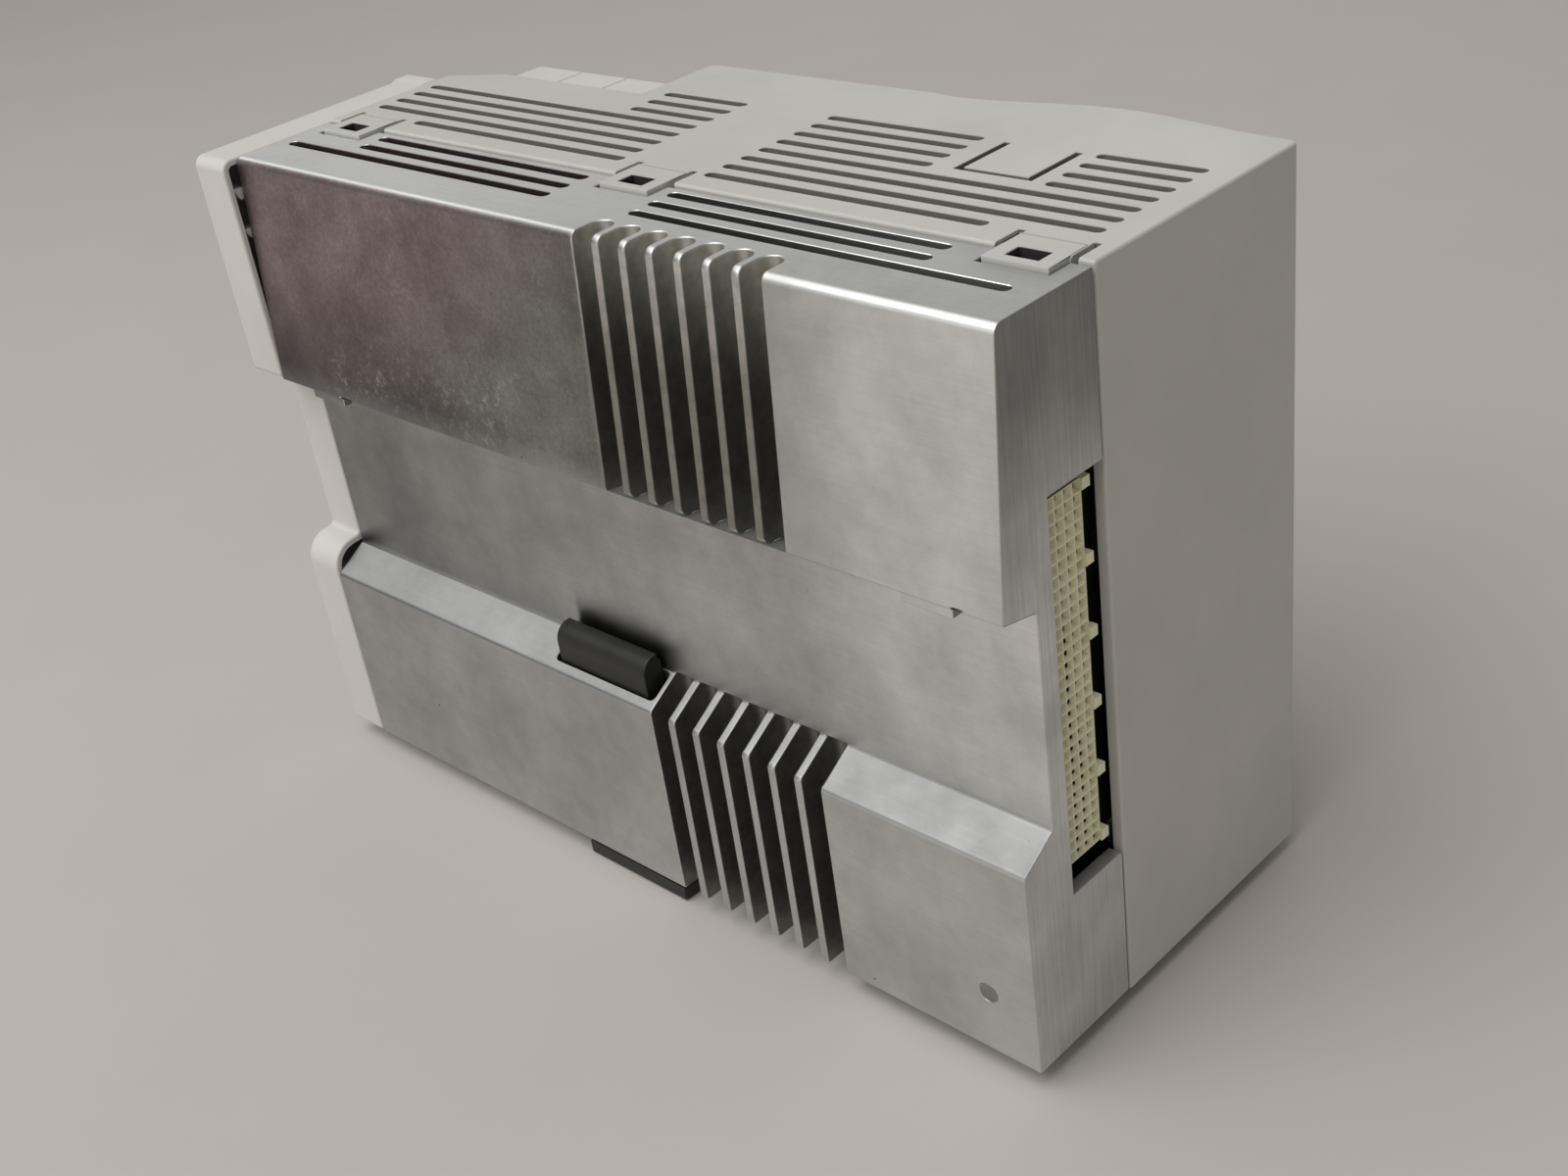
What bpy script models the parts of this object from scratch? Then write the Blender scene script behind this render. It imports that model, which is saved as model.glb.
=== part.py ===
"""Rail-mounted controller module, built as an assembly of separate solids.

Units are metres. +Z is up, the rail groove faces +Y and the operating front faces -Y.
The frame's origin is the centre of the object's footprint, level with the lowest point of the foot latch.
Most places are given from three datums of the aluminium housing:
    across  distance from the bus connector's end face, towards +X
    depth   distance forward from the back face, towards -Y
    height  distance up from the housing's underside, towards +Z
"""

import math

import bmesh
import bpy
from mathutils import Matrix, Vector

# Overall sizes.
OVERALL_WIDTH = 0.1760
HOUSING_WIDTH = 0.1665
HOUSING_HEIGHT = 0.1200
HOUSING_DEPTH = 0.02295
OVERALL_DEPTH = 0.0758
PULL_BAR_DROP = 0.0030
GAP = 0.0003

# The frame's datums.
LEFT_END = -OVERALL_WIDTH / 2
BACK = OVERALL_DEPTH / 2
UNDERSIDE = PULL_BAR_DROP

# Rail groove and the two blocks beside it.
GROOVE_DEPTH = 0.00694
GROOVE_LOW = 0.0415
GROOVE_HIGH = 0.0775
LOWER_BLOCK_TOP = 0.0374
UPPER_BLOCK_FOOT = 0.0790
UPPER_BLOCK_LEAN = 0.0029
WEB_BACK = 0.0105
SIDE_WALL = 0.0025

# Cooling slots cut into the back.
FIN_SLOTS = 7
FIN_FIRST = 0.0389
FIN_PITCH = 0.00568
FIN_SLOT = 0.00415
FIN_ROOT_CENTRE = 0.0068

# Air slots through the top and the bottom.
ROW_PITCH = 0.0040
METAL_ROW_FIRST = 0.01265
COVER_ROW_FIRST = 0.02865
AIR_SLOT = 0.0019
NEAR_COLUMN = (0.0050, 0.0748)
FAR_COLUMN = (0.0934, 0.1634)
NEAR_SHORT = (0.0210, 0.0748)
FAR_SHORT = (0.0934, 0.1476)

# Snap hooks that hold the cover on the housing.
HOOK_CENTRES = (0.0093, 0.08325, 0.1570)
HOOK_HALF = 0.0054
HOOK_REACH = 0.0190
HOOK_HOLE = (0.0205, 0.0237)
HOOK_HOLE_HALF = 0.0027

# Side bus connector.
CONNECTOR_TABS = 6
TAB_PITCH = 0.01172

# Front cover.
COVER_BACK = HOUSING_DEPTH + GAP
COVER_PROUD = 0.0005
COVER_WALL = 0.0020
FRONT_PLANE = 0.0728
FRONT_INNER = 0.0702
BULGE_BASE = 0.0722
BULGE_RISE = 0.0036
BULGE_CENTRE = 0.0320
BULGE_HALF = 0.0300
STEP_ACROSS = 0.1176
BAY_WALL = 0.0553
BAY_END = 0.1545
PANEL_FLOOR = 0.0732

# Foot latch and its channel.
LATCH_CHANNEL = (0.0780, 0.1030)
LATCH_CHANNEL_DEPTH = (0.0017, 0.0067)
LATCH_BODY = (0.0796, 0.1019)
LATCH_PEG = (0.0085, 0.0105)
LATCH_WINDOW = (0.0082, 0.0280)
LATCH_MIDDLE = (LATCH_BODY[0] + LATCH_BODY[1]) / 2
SPRING_TURNS = 7
SPRING_RADIUS = 0.00165
SPRING_WIRE = 0.0003

# Boards, parallel to the back.
MAIN_BOARD = (0.0226, 0.0242)
PROCESSOR_BOARD = (0.0530, 0.0546)
SIGNAL_BOARD = (0.0430, 0.0446)
PANEL_BOARD = (0.0600, 0.0616)
MAIN_SCREWS = ((0.010, 0.010), (0.156, 0.010), (0.010, 0.110), (0.156, 0.110))
PROCESSOR_POSTS = ((0.063, 0.012), (0.110, 0.012), (0.063, 0.108), (0.110, 0.108))
SIGNAL_POSTS = ((0.140, 0.012), (0.140, 0.108))

# Operating panel.
KEY_CENTRES = (0.0170, 0.0270, 0.0370, 0.0470)
KEY_HEIGHT = 0.0790
RESET_CENTRE = (0.0470, 0.0700)

# Ports.
JACK_CORNERS = ((0.066, 0.088), (0.066, 0.070), (0.090, 0.088), (0.090, 0.070))
JACK_SIZE = (0.0160, 0.0135)
LIGHT_PIPES = 7

# Terminal plugs.
PLUGS = 3
PLUG_PITCH = 0.0122
PLUG_WIDTH = 0.0119
PLUG_FIRST = STEP_ACROSS + 0.00035
PLUG_FOOT = 0.0320
PLUG_HEAD = 0.0980
PLUG_DEPTH = (0.0557, 0.0754)
CONTACT_ROWS = (0.042, 0.056, 0.070, 0.084)
CONTACT_COLUMNS = (0.0032, 0.0087)
FLAP_PIVOT = (0.0742, 0.0997)


def clear_scene():
    """Removes everything that the startup scene holds."""
    for thing in list(bpy.data.objects):
        bpy.data.objects.remove(thing, do_unlink=True)


def new_collection(name):
    """Returns a new collection in the scene."""
    made = bpy.data.collections.new(name)
    bpy.context.scene.collection.children.link(made)
    return made


def finish(name, colour, roughness, metallic=0.0):
    """Returns a Principled material with a plain colour."""
    material = bpy.data.materials.new(name)
    material.use_nodes = True
    shader = material.node_tree.nodes["Principled BSDF"]
    shader.inputs["Base Color"].default_value = (*colour, 1.0)
    shader.inputs["Roughness"].default_value = roughness
    shader.inputs["Metallic"].default_value = metallic
    return material


def place(across, depth, height):
    """Returns the world point of a place measured from the three datums."""
    return Vector((LEFT_END + across, BACK - depth, UNDERSIDE + height))


def add_object(name, mesh, home, material=None):
    """Puts a mesh into a collection as an object, shaded smooth with sharp edges kept."""
    mesh.shade_smooth()
    mesh.set_sharp_from_angle(angle=math.radians(35))
    made = bpy.data.objects.new(name, mesh)
    home.objects.link(made)
    if material:
        mesh.materials.append(material)
    return made


def bodies_of(shape):
    """The faces of each separate closed body."""
    left = set(shape.faces)
    while left:
        body, fresh = set(), [left.pop()]
        while fresh:
            face = fresh.pop()
            body.add(face)
            near = {other for edge in face.edges for other in edge.link_faces}
            fresh += near & left
            left -= near
        yield list(body)


def signed_volume(faces):
    """The volume inside the faces, which is negative when they point in."""
    total = 0.0
    for face in faces:
        first = face.verts[0].co
        for second, third in zip(face.verts[1:], face.verts[2:]):
            total += first.dot(second.co.cross(third.co)) / 6
    return total


def mesh_of(name, shape):
    """Turns a bmesh into a mesh with the faces of each body pointing out."""
    bmesh.ops.recalc_face_normals(shape, faces=shape.faces)
    for faces in bodies_of(shape):
        if signed_volume(faces) < 0:
            bmesh.ops.reverse_faces(shape, faces=faces)
    mesh = bpy.data.meshes.new(name)
    shape.to_mesh(mesh)
    shape.free()
    return mesh


def blocks(name, spans, home, material=None):
    """One object with a box for each (across, depth, height) triple of spans."""
    shape = bmesh.new()
    for across, depth, height in spans:
        low = place(across[0], depth[1], height[0])
        high = place(across[1], depth[0], height[1])
        sizes = Matrix.Diagonal((*(high - low), 1.0))
        bmesh.ops.create_cube(shape, size=1.0, matrix=Matrix.Translation((low + high) / 2) @ sizes)
    return add_object(name, mesh_of(name, shape), home, material)


def drums(name, centres, radius, depth, home, material=None, sides=16):
    """One object with a cylinder along the depth for each (across, height) centre."""
    shape = bmesh.new()
    middle = (depth[0] + depth[1]) / 2
    for across, height in centres:
        turn = Matrix.Rotation(math.pi / 2, 4, "X")
        where = Matrix.Translation(place(across, middle, height))
        bmesh.ops.create_cone(
            shape,
            cap_ends=True,
            segments=sides,
            radius1=radius,
            radius2=radius,
            depth=depth[1] - depth[0],
            matrix=where @ turn,
        )
    return add_object(name, mesh_of(name, shape), home, material)


def rounded(corners, segments=4):
    """An outline whose corners, given as (u, v, radius), are rounded by arcs."""
    points = []
    for index, (u, v, radius) in enumerate(corners):
        corner = Vector((u, v))
        before = Vector(corners[index - 1][:2]) - corner
        after = Vector(corners[(index + 1) % len(corners)][:2]) - corner
        if radius == 0:
            points.append(corner)
            continue
        half = before.angle(after) / 2
        run = radius / math.tan(half)
        inward = (before.normalized() + after.normalized()).normalized()
        middle = corner + inward * radius / math.sin(half)
        start = corner + before.normalized() * run - middle
        end = corner + after.normalized() * run - middle
        sweep = start.angle_signed(end)
        for step in range(segments + 1):
            points.append(middle + Matrix.Rotation(-sweep * step / segments, 2) @ start)
    return points


def stadium(span, middle, width, segments=4):
    """The outline of a slot with round ends, along the first axis."""
    radius = width / 2
    points = []
    for centre, first in ((span[1] - radius, -90), (span[0] + radius, 90)):
        for step in range(segments + 1):
            angle = math.radians(first + 180 * step / segments)
            points.append((centre + radius * math.cos(angle), middle + radius * math.sin(angle)))
    return points


def prism(name, outlines, along, span, home, material=None):
    """Flat outlines given thickness: along X they lie in (depth, height), along Z in (across, depth)
    and along Y in (across, height). An outline inside another one is a hole."""
    curve = bpy.data.curves.new(name, "CURVE")
    curve.dimensions = "2D"
    curve.fill_mode = "BOTH"
    curve.extrude = (span[1] - span[0]) / 2
    for outline in outlines:
        spline = curve.splines.new("POLY")
        spline.points.add(len(outline) - 1)
        spline.use_cyclic_u = True
        for point, (u, v) in zip(spline.points, outline):
            point.co = (u, v, 0, 1)
    drawn = bpy.data.objects.new(name, curve)
    home.objects.link(drawn)
    graph = bpy.context.evaluated_depsgraph_get()
    flat = bpy.data.meshes.new_from_object(drawn.evaluated_get(graph))
    bpy.data.objects.remove(drawn, do_unlink=True)
    shape = bmesh.new()
    shape.from_mesh(flat)
    bmesh.ops.remove_doubles(shape, verts=shape.verts, dist=1e-6)
    middle = (span[0] + span[1]) / 2
    for vertex in shape.verts:
        u, v, w = vertex.co
        w += middle
        order = {"X": (w, u, v), "Y": (u, w, v), "Z": (u, v, w)}[along]
        vertex.co = place(*order)
    return add_object(name, mesh_of(name, shape), home, material)


def numbered_drums(name, centres, radius, depth, home, material, sides=16):
    """A numbered object with one cylinder for each centre."""
    return [
        drums(f"{name}_{index + 1}", [centre], radius, depth, home, material, sides)
        for index, centre in enumerate(centres)
    ]


def bevel(target, width, segments=2, angle=30):
    """Rounds the edges that are sharper than the angle."""
    modifier = target.modifiers.new("Bevel", "BEVEL")
    modifier.width = width
    modifier.segments = segments
    modifier.limit_method = "ANGLE"
    modifier.angle_limit = math.radians(angle)


def combine(target, operation, tools, hidden):
    """Cuts the tools from the target, or joins them to it, and hides them."""
    for tool in tools:
        for home in list(tool.users_collection):
            home.objects.unlink(tool)
        hidden.objects.link(tool)
        tool.hide_render = True
        tool.display_type = "WIRE"
        modifier = target.modifiers.new(tool.name, "BOOLEAN")
        modifier.operation = operation
        modifier.object = tool


def set_origin(target, point):
    """Moves the object's origin to a world point and leaves its shape in place."""
    target.data.transform(Matrix.Translation(-point))
    target.location = point


def mirrored_height(span):
    """The same span measured down from the housing's top."""
    return (HOUSING_HEIGHT - span[1], HOUSING_HEIGHT - span[0])


def around(centre, half):
    """A span of twice the half width about a centre."""
    return (centre - half, centre + half)


def build_housing(parts, cutters, material):
    """Aluminium base: two blocks beside a rail groove, cooling slots, and a tray for the boards."""
    outline = rounded(
        [
            (0, 0, 0.0006),
            (0, LOWER_BLOCK_TOP, 0.0010),
            (GROOVE_DEPTH, GROOVE_LOW, 0),
            (GROOVE_DEPTH, GROOVE_HIGH, 0),
            (0, UPPER_BLOCK_FOOT, 0.0004),
            (UPPER_BLOCK_LEAN, HOUSING_HEIGHT, 0.0012),
            (HOUSING_DEPTH, HOUSING_HEIGHT, 0),
            (HOUSING_DEPTH, 0, 0),
        ],
        segments=3,
    )
    housing = prism("heat_sink_housing", [outline], "X", (0, HOUSING_WIDTH), parts, material)

    lips = [
        ((0.0089, 0.0180), (0.0004, 0.0050), (0.0776, 0.0800)),
        ((0.1482, 0.1576), (0.0004, 0.0050), (0.0776, 0.0800)),
    ]
    combine(housing, "UNION", [blocks("hook_lips", lips, cutters)], cutters)

    far = HOUSING_WIDTH - SIDE_WALL
    tray = [((SIDE_WALL, far), (WEB_BACK, 0.030), (0.003, HOUSING_HEIGHT - 0.003))]
    pockets = [
        ((0.084, 0.150), (0.005, 0.012), (0.083, 0.103)),
        ((0.108, 0.150), (0.003, 0.012), (0.016, 0.035)),
    ]
    window = [((-0.002, 0.005), (0.0109, 0.030), (0.0272, 0.0930))]
    channel = [(LATCH_CHANNEL, LATCH_CHANNEL_DEPTH, (-0.002, 0.050))]
    hook_seats = []
    for centre in HOOK_CENTRES:
        for height in ((HOUSING_HEIGHT - 0.0013, HOUSING_HEIGHT + 0.002), (-0.002, 0.0013)):
            hook_seats.append((around(centre, HOOK_HALF + 0.0005), (0.0184, 0.030), height))
    named = {
        "tray_space": tray,
        "block_pockets": pockets,
        "connector_window": window,
        "latch_channel": channel,
        "hook_seats": hook_seats,
    }
    spaces = [blocks(name, spans, cutters) for name, spans in named.items()]
    combine(housing, "DIFFERENCE", spaces, cutters)

    upper, lower = [], []
    for index in range(FIN_SLOTS):
        first = FIN_FIRST + index * FIN_PITCH
        middle = first + FIN_SLOT / 2
        root = [
            (middle + FIN_SLOT / 2 * math.cos(angle), FIN_ROOT_CENTRE + FIN_SLOT / 2 * math.sin(angle))
            for angle in (math.radians(30 * step) for step in range(7))
        ]
        outline = root + [(first, -0.002), (first + FIN_SLOT, -0.002)]
        upper.append(outline)
        lower.append(outline)
    slots = [
        prism("upper_cooling_slots", upper, "Z", (GROOVE_HIGH + 0.0005, HOUSING_HEIGHT + 0.002), cutters),
        prism("lower_cooling_slots", lower, "Z", (-0.002, GROOVE_LOW), cutters),
    ]
    rows = []
    for index in range(3):
        depth = METAL_ROW_FIRST + index * ROW_PITCH
        near = NEAR_COLUMN if index == 0 else NEAR_SHORT
        away = FAR_COLUMN if index == 0 else FAR_SHORT
        rows += [stadium(near, depth, AIR_SLOT), stadium(away, depth, AIR_SLOT)]
    slots += [
        prism("top_air_slots", rows, "Z", (HOUSING_HEIGHT - 0.005, HOUSING_HEIGHT + 0.002), cutters),
        prism("bottom_air_slots", rows, "Z", (-0.002, 0.005), cutters),
    ]
    combine(housing, "DIFFERENCE", slots, cutters)

    bosses = drums("screw_bosses", MAIN_SCREWS, 0.0035, (0.009, MAIN_BOARD[0] - GAP), cutters)
    peg = [(around(LATCH_MIDDLE, 0.003), (0.0026, 0.0080), LATCH_PEG)]
    nubs = []
    for centre in HOOK_CENTRES:
        for height in ((HOUSING_HEIGHT - 0.002, HOUSING_HEIGHT), (0, 0.002)):
            nubs.append((around(centre, 0.0022), (0.0210, 0.0228), height))
    joined = [bosses, blocks("latch_peg", peg, cutters), blocks("hook_nubs", nubs, cutters)]
    combine(housing, "UNION", joined, cutters)
    bores = drums("boss_bores", MAIN_SCREWS, 0.0017, (0.0115, 0.030), cutters, sides=10)
    combine(housing, "DIFFERENCE", [bores], cutters)


def build_latch(parts, cutters, dark, steel):
    """Foot latch: a slide in the lower block whose head closes on the rail, its pull bar and its spring."""
    head = rounded(
        [
            (0.0021, 0.0280, 0),
            (0.0021, 0.0400, 0.0012),
            (0.0040, 0.0452, 0.0018),
            (0.0058, 0.0452, 0.0004),
            (0.0058, 0.0438, 0),
            (0.0064, 0.0438, 0),
            (0.0064, 0.0280, 0),
        ],
        segments=4,
    )
    latch = prism("foot_latch", [head], "X", LATCH_BODY, parts, dark)
    plate = [(LATCH_BODY, (0.0021, 0.0056), (-0.0010, 0.0290))]
    bar = [((0.0776, 0.1027), (0.0002, 0.0064), (-PULL_BAR_DROP, -0.0004))]
    foot = [blocks("latch_plate", plate, cutters), blocks("pull_bar", bar, cutters)]
    combine(latch, "UNION", foot, cutters)
    window = [(around(LATCH_MIDDLE, 0.0036), (0.0010, 0.0075), LATCH_WINDOW)]
    combine(latch, "DIFFERENCE", [blocks("spring_window", window, cutters)], cutters)
    set_origin(latch, place(LATCH_MIDDLE, 0.0040, 0.0200))

    low = LATCH_PEG[1] + GAP + SPRING_WIRE
    high = LATCH_WINDOW[1] - GAP - SPRING_WIRE
    steps = SPRING_TURNS * 8
    curve = bpy.data.curves.new("latch_spring", "CURVE")
    curve.dimensions = "3D"
    curve.bevel_depth = SPRING_WIRE
    curve.bevel_resolution = 2
    curve.use_fill_caps = True
    spline = curve.splines.new("POLY")
    spline.points.add(steps)
    for step, point in enumerate(spline.points):
        angle = 2 * math.pi * step / 8
        across = LATCH_MIDDLE + SPRING_RADIUS * math.cos(angle)
        depth = 0.0042 + SPRING_RADIUS * math.sin(angle)
        point.co = (*place(across, depth, low + (high - low) * step / steps), 1)
    spring = bpy.data.objects.new("latch_spring", curve)
    parts.objects.link(spring)
    curve.materials.append(steel)


def bulge(across):
    """How far forward the front stands at a place across the operating panel."""
    phase = (across - BULGE_CENTRE) / (2 * BULGE_HALF)
    return BULGE_BASE + BULGE_RISE * math.cos(math.pi * phase) ** 2


def cover_rows():
    """The air slots of the cover's top, which leave room for the hooks and the spring tab."""
    rows = []
    for index in range(8):
        depth = COVER_ROW_FIRST + index * ROW_PITCH
        if index == 0:
            spans = [NEAR_SHORT, FAR_SHORT]
        elif index < 4:
            spans = [NEAR_COLUMN, FAR_COLUMN]
        else:
            spans = [(NEAR_COLUMN[0], 0.0232), (0.0438, NEAR_COLUMN[1])]
            spans.append(FAR_COLUMN if index == 4 else (FAR_COLUMN[0], 0.1128))
        rows += [stadium(span, depth, AIR_SLOT) for span in spans]
    return rows


def build_cover(parts, cutters, material):
    """Moulded cover over the boards, with hooks, air slots, the panel recess and the port openings."""
    front = [(BULGE_CENTRE - BULGE_HALF + step * BULGE_HALF / 6) for step in range(13)]
    outline = [(0, COVER_BACK), (0, BULGE_BASE - 0.0010), (0.0008, BULGE_BASE - 0.0002)]
    outline += [(across, bulge(across)) for across in front]
    outline += [
        (0.0660, FRONT_PLANE),
        (STEP_ACROSS - 0.0012, FRONT_PLANE),
        (STEP_ACROSS, FRONT_PLANE - 0.0012),
        (STEP_ACROSS, BAY_WALL),
        (BAY_END, BAY_WALL),
        (HOUSING_WIDTH, 0.0505),
        (HOUSING_WIDTH, COVER_BACK),
    ]
    span = (-COVER_PROUD, HOUSING_HEIGHT + COVER_PROUD)
    cover = prism("front_cover", [outline], "Z", span, parts, material)
    bevel(cover, 0.0004, segments=1)

    inner = [
        (COVER_WALL, 0.015),
        (COVER_WALL, FRONT_INNER),
        (STEP_ACROSS - COVER_WALL, FRONT_INNER),
        (STEP_ACROSS - COVER_WALL, BAY_WALL - COVER_WALL),
        (BAY_END - 0.0006, BAY_WALL - COVER_WALL),
        (HOUSING_WIDTH - COVER_WALL, 0.0486),
        (HOUSING_WIDTH - COVER_WALL, 0.015),
    ]
    inside = prism("cover_inside", [inner], "Z", (COVER_WALL, HOUSING_HEIGHT - COVER_WALL), cutters)
    combine(cover, "DIFFERENCE", [inside], cutters)

    tongues, slits, holes = [], [], []
    for centre in HOOK_CENTRES:
        for top in (True, False):
            tongue = (HOUSING_HEIGHT - 0.0009, HOUSING_HEIGHT + 0.0006)
            wall = (HOUSING_HEIGHT - 0.004, HOUSING_HEIGHT + 0.003)
            if not top:
                tongue = mirrored_height(tongue)
                wall = mirrored_height(wall)
            tongues.append((around(centre, HOOK_HALF), (HOOK_REACH, COVER_BACK + 0.004), tongue))
            holes.append((around(centre, HOOK_HOLE_HALF), HOOK_HOLE, wall))
            for side in (-1, 1):
                slit = around(centre + side * (HOOK_HALF + 0.0006), 0.0006)
                slits.append((slit, (COVER_BACK - 0.002, 0.0289), wall))
    top_wall = (HOUSING_HEIGHT - 0.004, HOUSING_HEIGHT + 0.003)
    tab = [
        ((0.0257, 0.0269), (0.0445, 0.0569), top_wall),
        ((0.0386, 0.0398), (0.0445, 0.0569), top_wall),
        ((0.0260, 0.0395), (0.0445, 0.0455), top_wall),
    ]
    combine(cover, "UNION", [blocks("hook_tongues", tongues, cutters)], cutters)
    clearances = [blocks("hook_slits", slits, cutters), blocks("hook_holes", holes, cutters)]
    combine(cover, "DIFFERENCE", clearances, cutters)
    tab_arms = blocks("tab_arms", tab[:2], cutters)
    tab_end = blocks("tab_end", tab[2:], cutters)
    combine(cover, "DIFFERENCE", [tab_arms, tab_end], cutters)

    rows = cover_rows()
    air = [
        prism("cover_top_slots", rows, "Z", top_wall, cutters),
        prism("cover_bottom_slots", rows, "Z", mirrored_height(top_wall), cutters),
    ]
    combine(cover, "DIFFERENCE", air, cutters)

    through = (0.066, 0.080)
    recess = [((0.0110, 0.0530), (PANEL_FLOOR, 0.080), (0.0640, 0.1120))]
    openings = [
        ((0.0160, 0.0480), through, (0.0880, 0.1070)),
        ((0.0197, 0.0243), through, (0.0140, 0.0580)),
        ((0.0284, 0.0334), through, (0.0146, 0.0194)),
        ((0.0680, 0.0805), through, (0.0260, 0.0570)),
        ((0.0880, 0.1100), through, (0.0260, 0.0600)),
    ]
    openings += [(around(across, 0.0037), through, around(KEY_HEIGHT, 0.0027)) for across in KEY_CENTRES]
    for across, height in JACK_CORNERS:
        wide = (across - GAP, across + JACK_SIZE[0] + GAP)
        tall = (height - GAP, height + JACK_SIZE[1] + GAP)
        openings.append((wide, through, tall))
    pipe_holes = drums("pipe_holes", light_pipe_centres(), 0.0013, through, cutters, sides=10)
    reset_hole = drums("reset_hole", [RESET_CENTRE], 0.0020, through, cutters)
    header_hole = [((0.1200, 0.1524), (0.050, 0.058), (0.0380, 0.0960))]
    cuts = [
        blocks("panel_recess", recess, cutters),
        blocks("front_openings", openings, cutters),
        pipe_holes,
        reset_hole,
        blocks("header_opening", header_hole, cutters),
    ]
    combine(cover, "DIFFERENCE", cuts, cutters)


def light_pipe_centres():
    """Where the status light pipes end, in a row above the jacks."""
    return [(0.0680 + index * 0.0060, 0.1110) for index in range(LIGHT_PIPES)]


def build_end_plate(parts, cutters, material):
    """Hollow end plate that closes the far end and repeats the housing's outline."""
    corners = [
        (0, 0, 0.0010),
        (0, 0.0425, 0.0050),
        (GROOVE_DEPTH, 0.0430, 0.0010),
        (GROOVE_DEPTH, 0.0790, 0.0006),
        (0, 0.0790, 0.0006),
        (0, HOUSING_HEIGHT, 0.0020),
        (0.0440, HOUSING_HEIGHT, 0),
        (0.0452, HOUSING_HEIGHT + 0.0005, 0),
        (0.0488, HOUSING_HEIGHT + 0.0005, 0.0006),
        (0.0488, 0, 0.0010),
    ]
    near = HOUSING_WIDTH + GAP
    plate = prism("end_plate", [rounded(corners, segments=5)], "X", (near, OVERALL_WIDTH), parts, material)
    bevel(plate, 0.0006, segments=2, angle=50)
    skin = 0.0012
    hollow = rounded(
        [
            (skin, skin, 0),
            (skin, 0.0413, 0.0040),
            (GROOVE_DEPTH + skin, 0.0418, 0),
            (GROOVE_DEPTH + skin, 0.0802, 0),
            (skin, 0.0802, 0),
            (skin, HOUSING_HEIGHT - skin, 0.0010),
            (0.0476, HOUSING_HEIGHT - skin, 0),
            (0.0476, skin, 0),
        ],
        segments=3,
    )
    inside = prism("end_plate_inside", [hollow], "X", (near - 0.002, OVERALL_WIDTH - 0.0014), cutters)
    combine(plate, "DIFFERENCE", [inside], cutters)


def build_bus_connector(parts, cutters, material):
    """Socket body of the side bus connector, with six keying tabs."""
    bar = [((0.0018, 0.0120), (0.0123, 0.0203), (0.0308, 0.0912))]
    body = blocks("bus_connector", bar, parts, material)
    tabs = []
    for index in range(CONNECTOR_TABS):
        foot = 0.0310 + index * TAB_PITCH
        tabs.append(((0.0018, 0.0040), (0.0198, 0.0220), (foot, foot + 0.0016)))
    combine(body, "UNION", [blocks("connector_tabs", tabs, cutters)], cutters)


def ring(centre, radius, sides):
    """The outline of a round hole."""
    turns = [2 * math.pi * step / sides for step in range(sides)]
    return [(centre[0] + radius * math.cos(turn), centre[1] + radius * math.sin(turn)) for turn in turns]


def build_boards(parts, laminate, brass):
    """The four circuit boards and the posts between them."""
    plain = {
        "processor_board": ((0.0590, 0.1140), PROCESSOR_BOARD, (0.0080, 0.1120)),
        "signal_board": ((0.1162, 0.1636), SIGNAL_BOARD, (0.0080, 0.1120)),
        "panel_board": ((0.0120, 0.0520), PANEL_BOARD, (0.0640, 0.1100)),
    }
    for name, span in plain.items():
        blocks(name, [span], parts, laminate)
    edge = [(0.0035, 0.0040), (0.1630, 0.0040), (0.1630, 0.1160), (0.0035, 0.1160)]
    drilled = [ring(centre, 0.0018, 10) for centre in MAIN_SCREWS]
    prism("main_board", [edge] + drilled, "Y", MAIN_BOARD, parts, laminate)

    behind = MAIN_BOARD[1] + GAP
    processor_span = (behind, PROCESSOR_BOARD[0] - GAP)
    signal_span = (behind, SIGNAL_BOARD[0] - GAP)
    numbered_drums("processor_board_post", PROCESSOR_POSTS, 0.0028, processor_span, parts, brass, sides=6)
    numbered_drums("signal_board_post", SIGNAL_POSTS, 0.0028, signal_span, parts, brass, sides=6)


def build_screws(parts, cutters, steel):
    """Four pan-head screws that hold the main board on the housing's bosses."""
    behind = MAIN_BOARD[1] + GAP
    shank_span = (0.0130, behind + 0.0006)
    head_span = (behind, behind + 0.0018)
    shanks = numbered_drums("board_screw", MAIN_SCREWS, 0.0014, shank_span, parts, steel, sides=10)
    heads = numbered_drums("screw_head", MAIN_SCREWS, 0.0028, head_span, cutters, None)
    for shank, head in zip(shanks, heads):
        combine(shank, "UNION", [head], cutters)


def build_cooling_path(parts, aluminium, pad, package):
    """Processor, thermal pad and heat spreader, stacked between the main board and the housing."""
    blocks("heat_spreader", [((0.104, 0.140), (0.0108, 0.0185), (0.042, 0.078))], parts, aluminium)
    blocks("thermal_pad", [((0.108, 0.136), (0.0188, 0.0198), (0.046, 0.074))], parts, pad)
    blocks("processor", [((0.109, 0.135), (0.0201, 0.0223), (0.047, 0.073))], parts, package)


def build_power_parts(parts, sleeve, steel):
    """Smoothing capacitors and the buffer cell on the main board."""
    behind = MAIN_BOARD[1] + GAP
    centres = [(0.046, 0.090), (0.046, 0.076), (0.046, 0.062)]
    numbered_drums("smoothing_capacitor", centres, 0.0050, (behind, 0.0420), parts, sleeve)
    drums("buffer_cell", [(0.046, 0.030)], 0.0100, (behind, 0.0300), parts, steel, sides=20)


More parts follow.
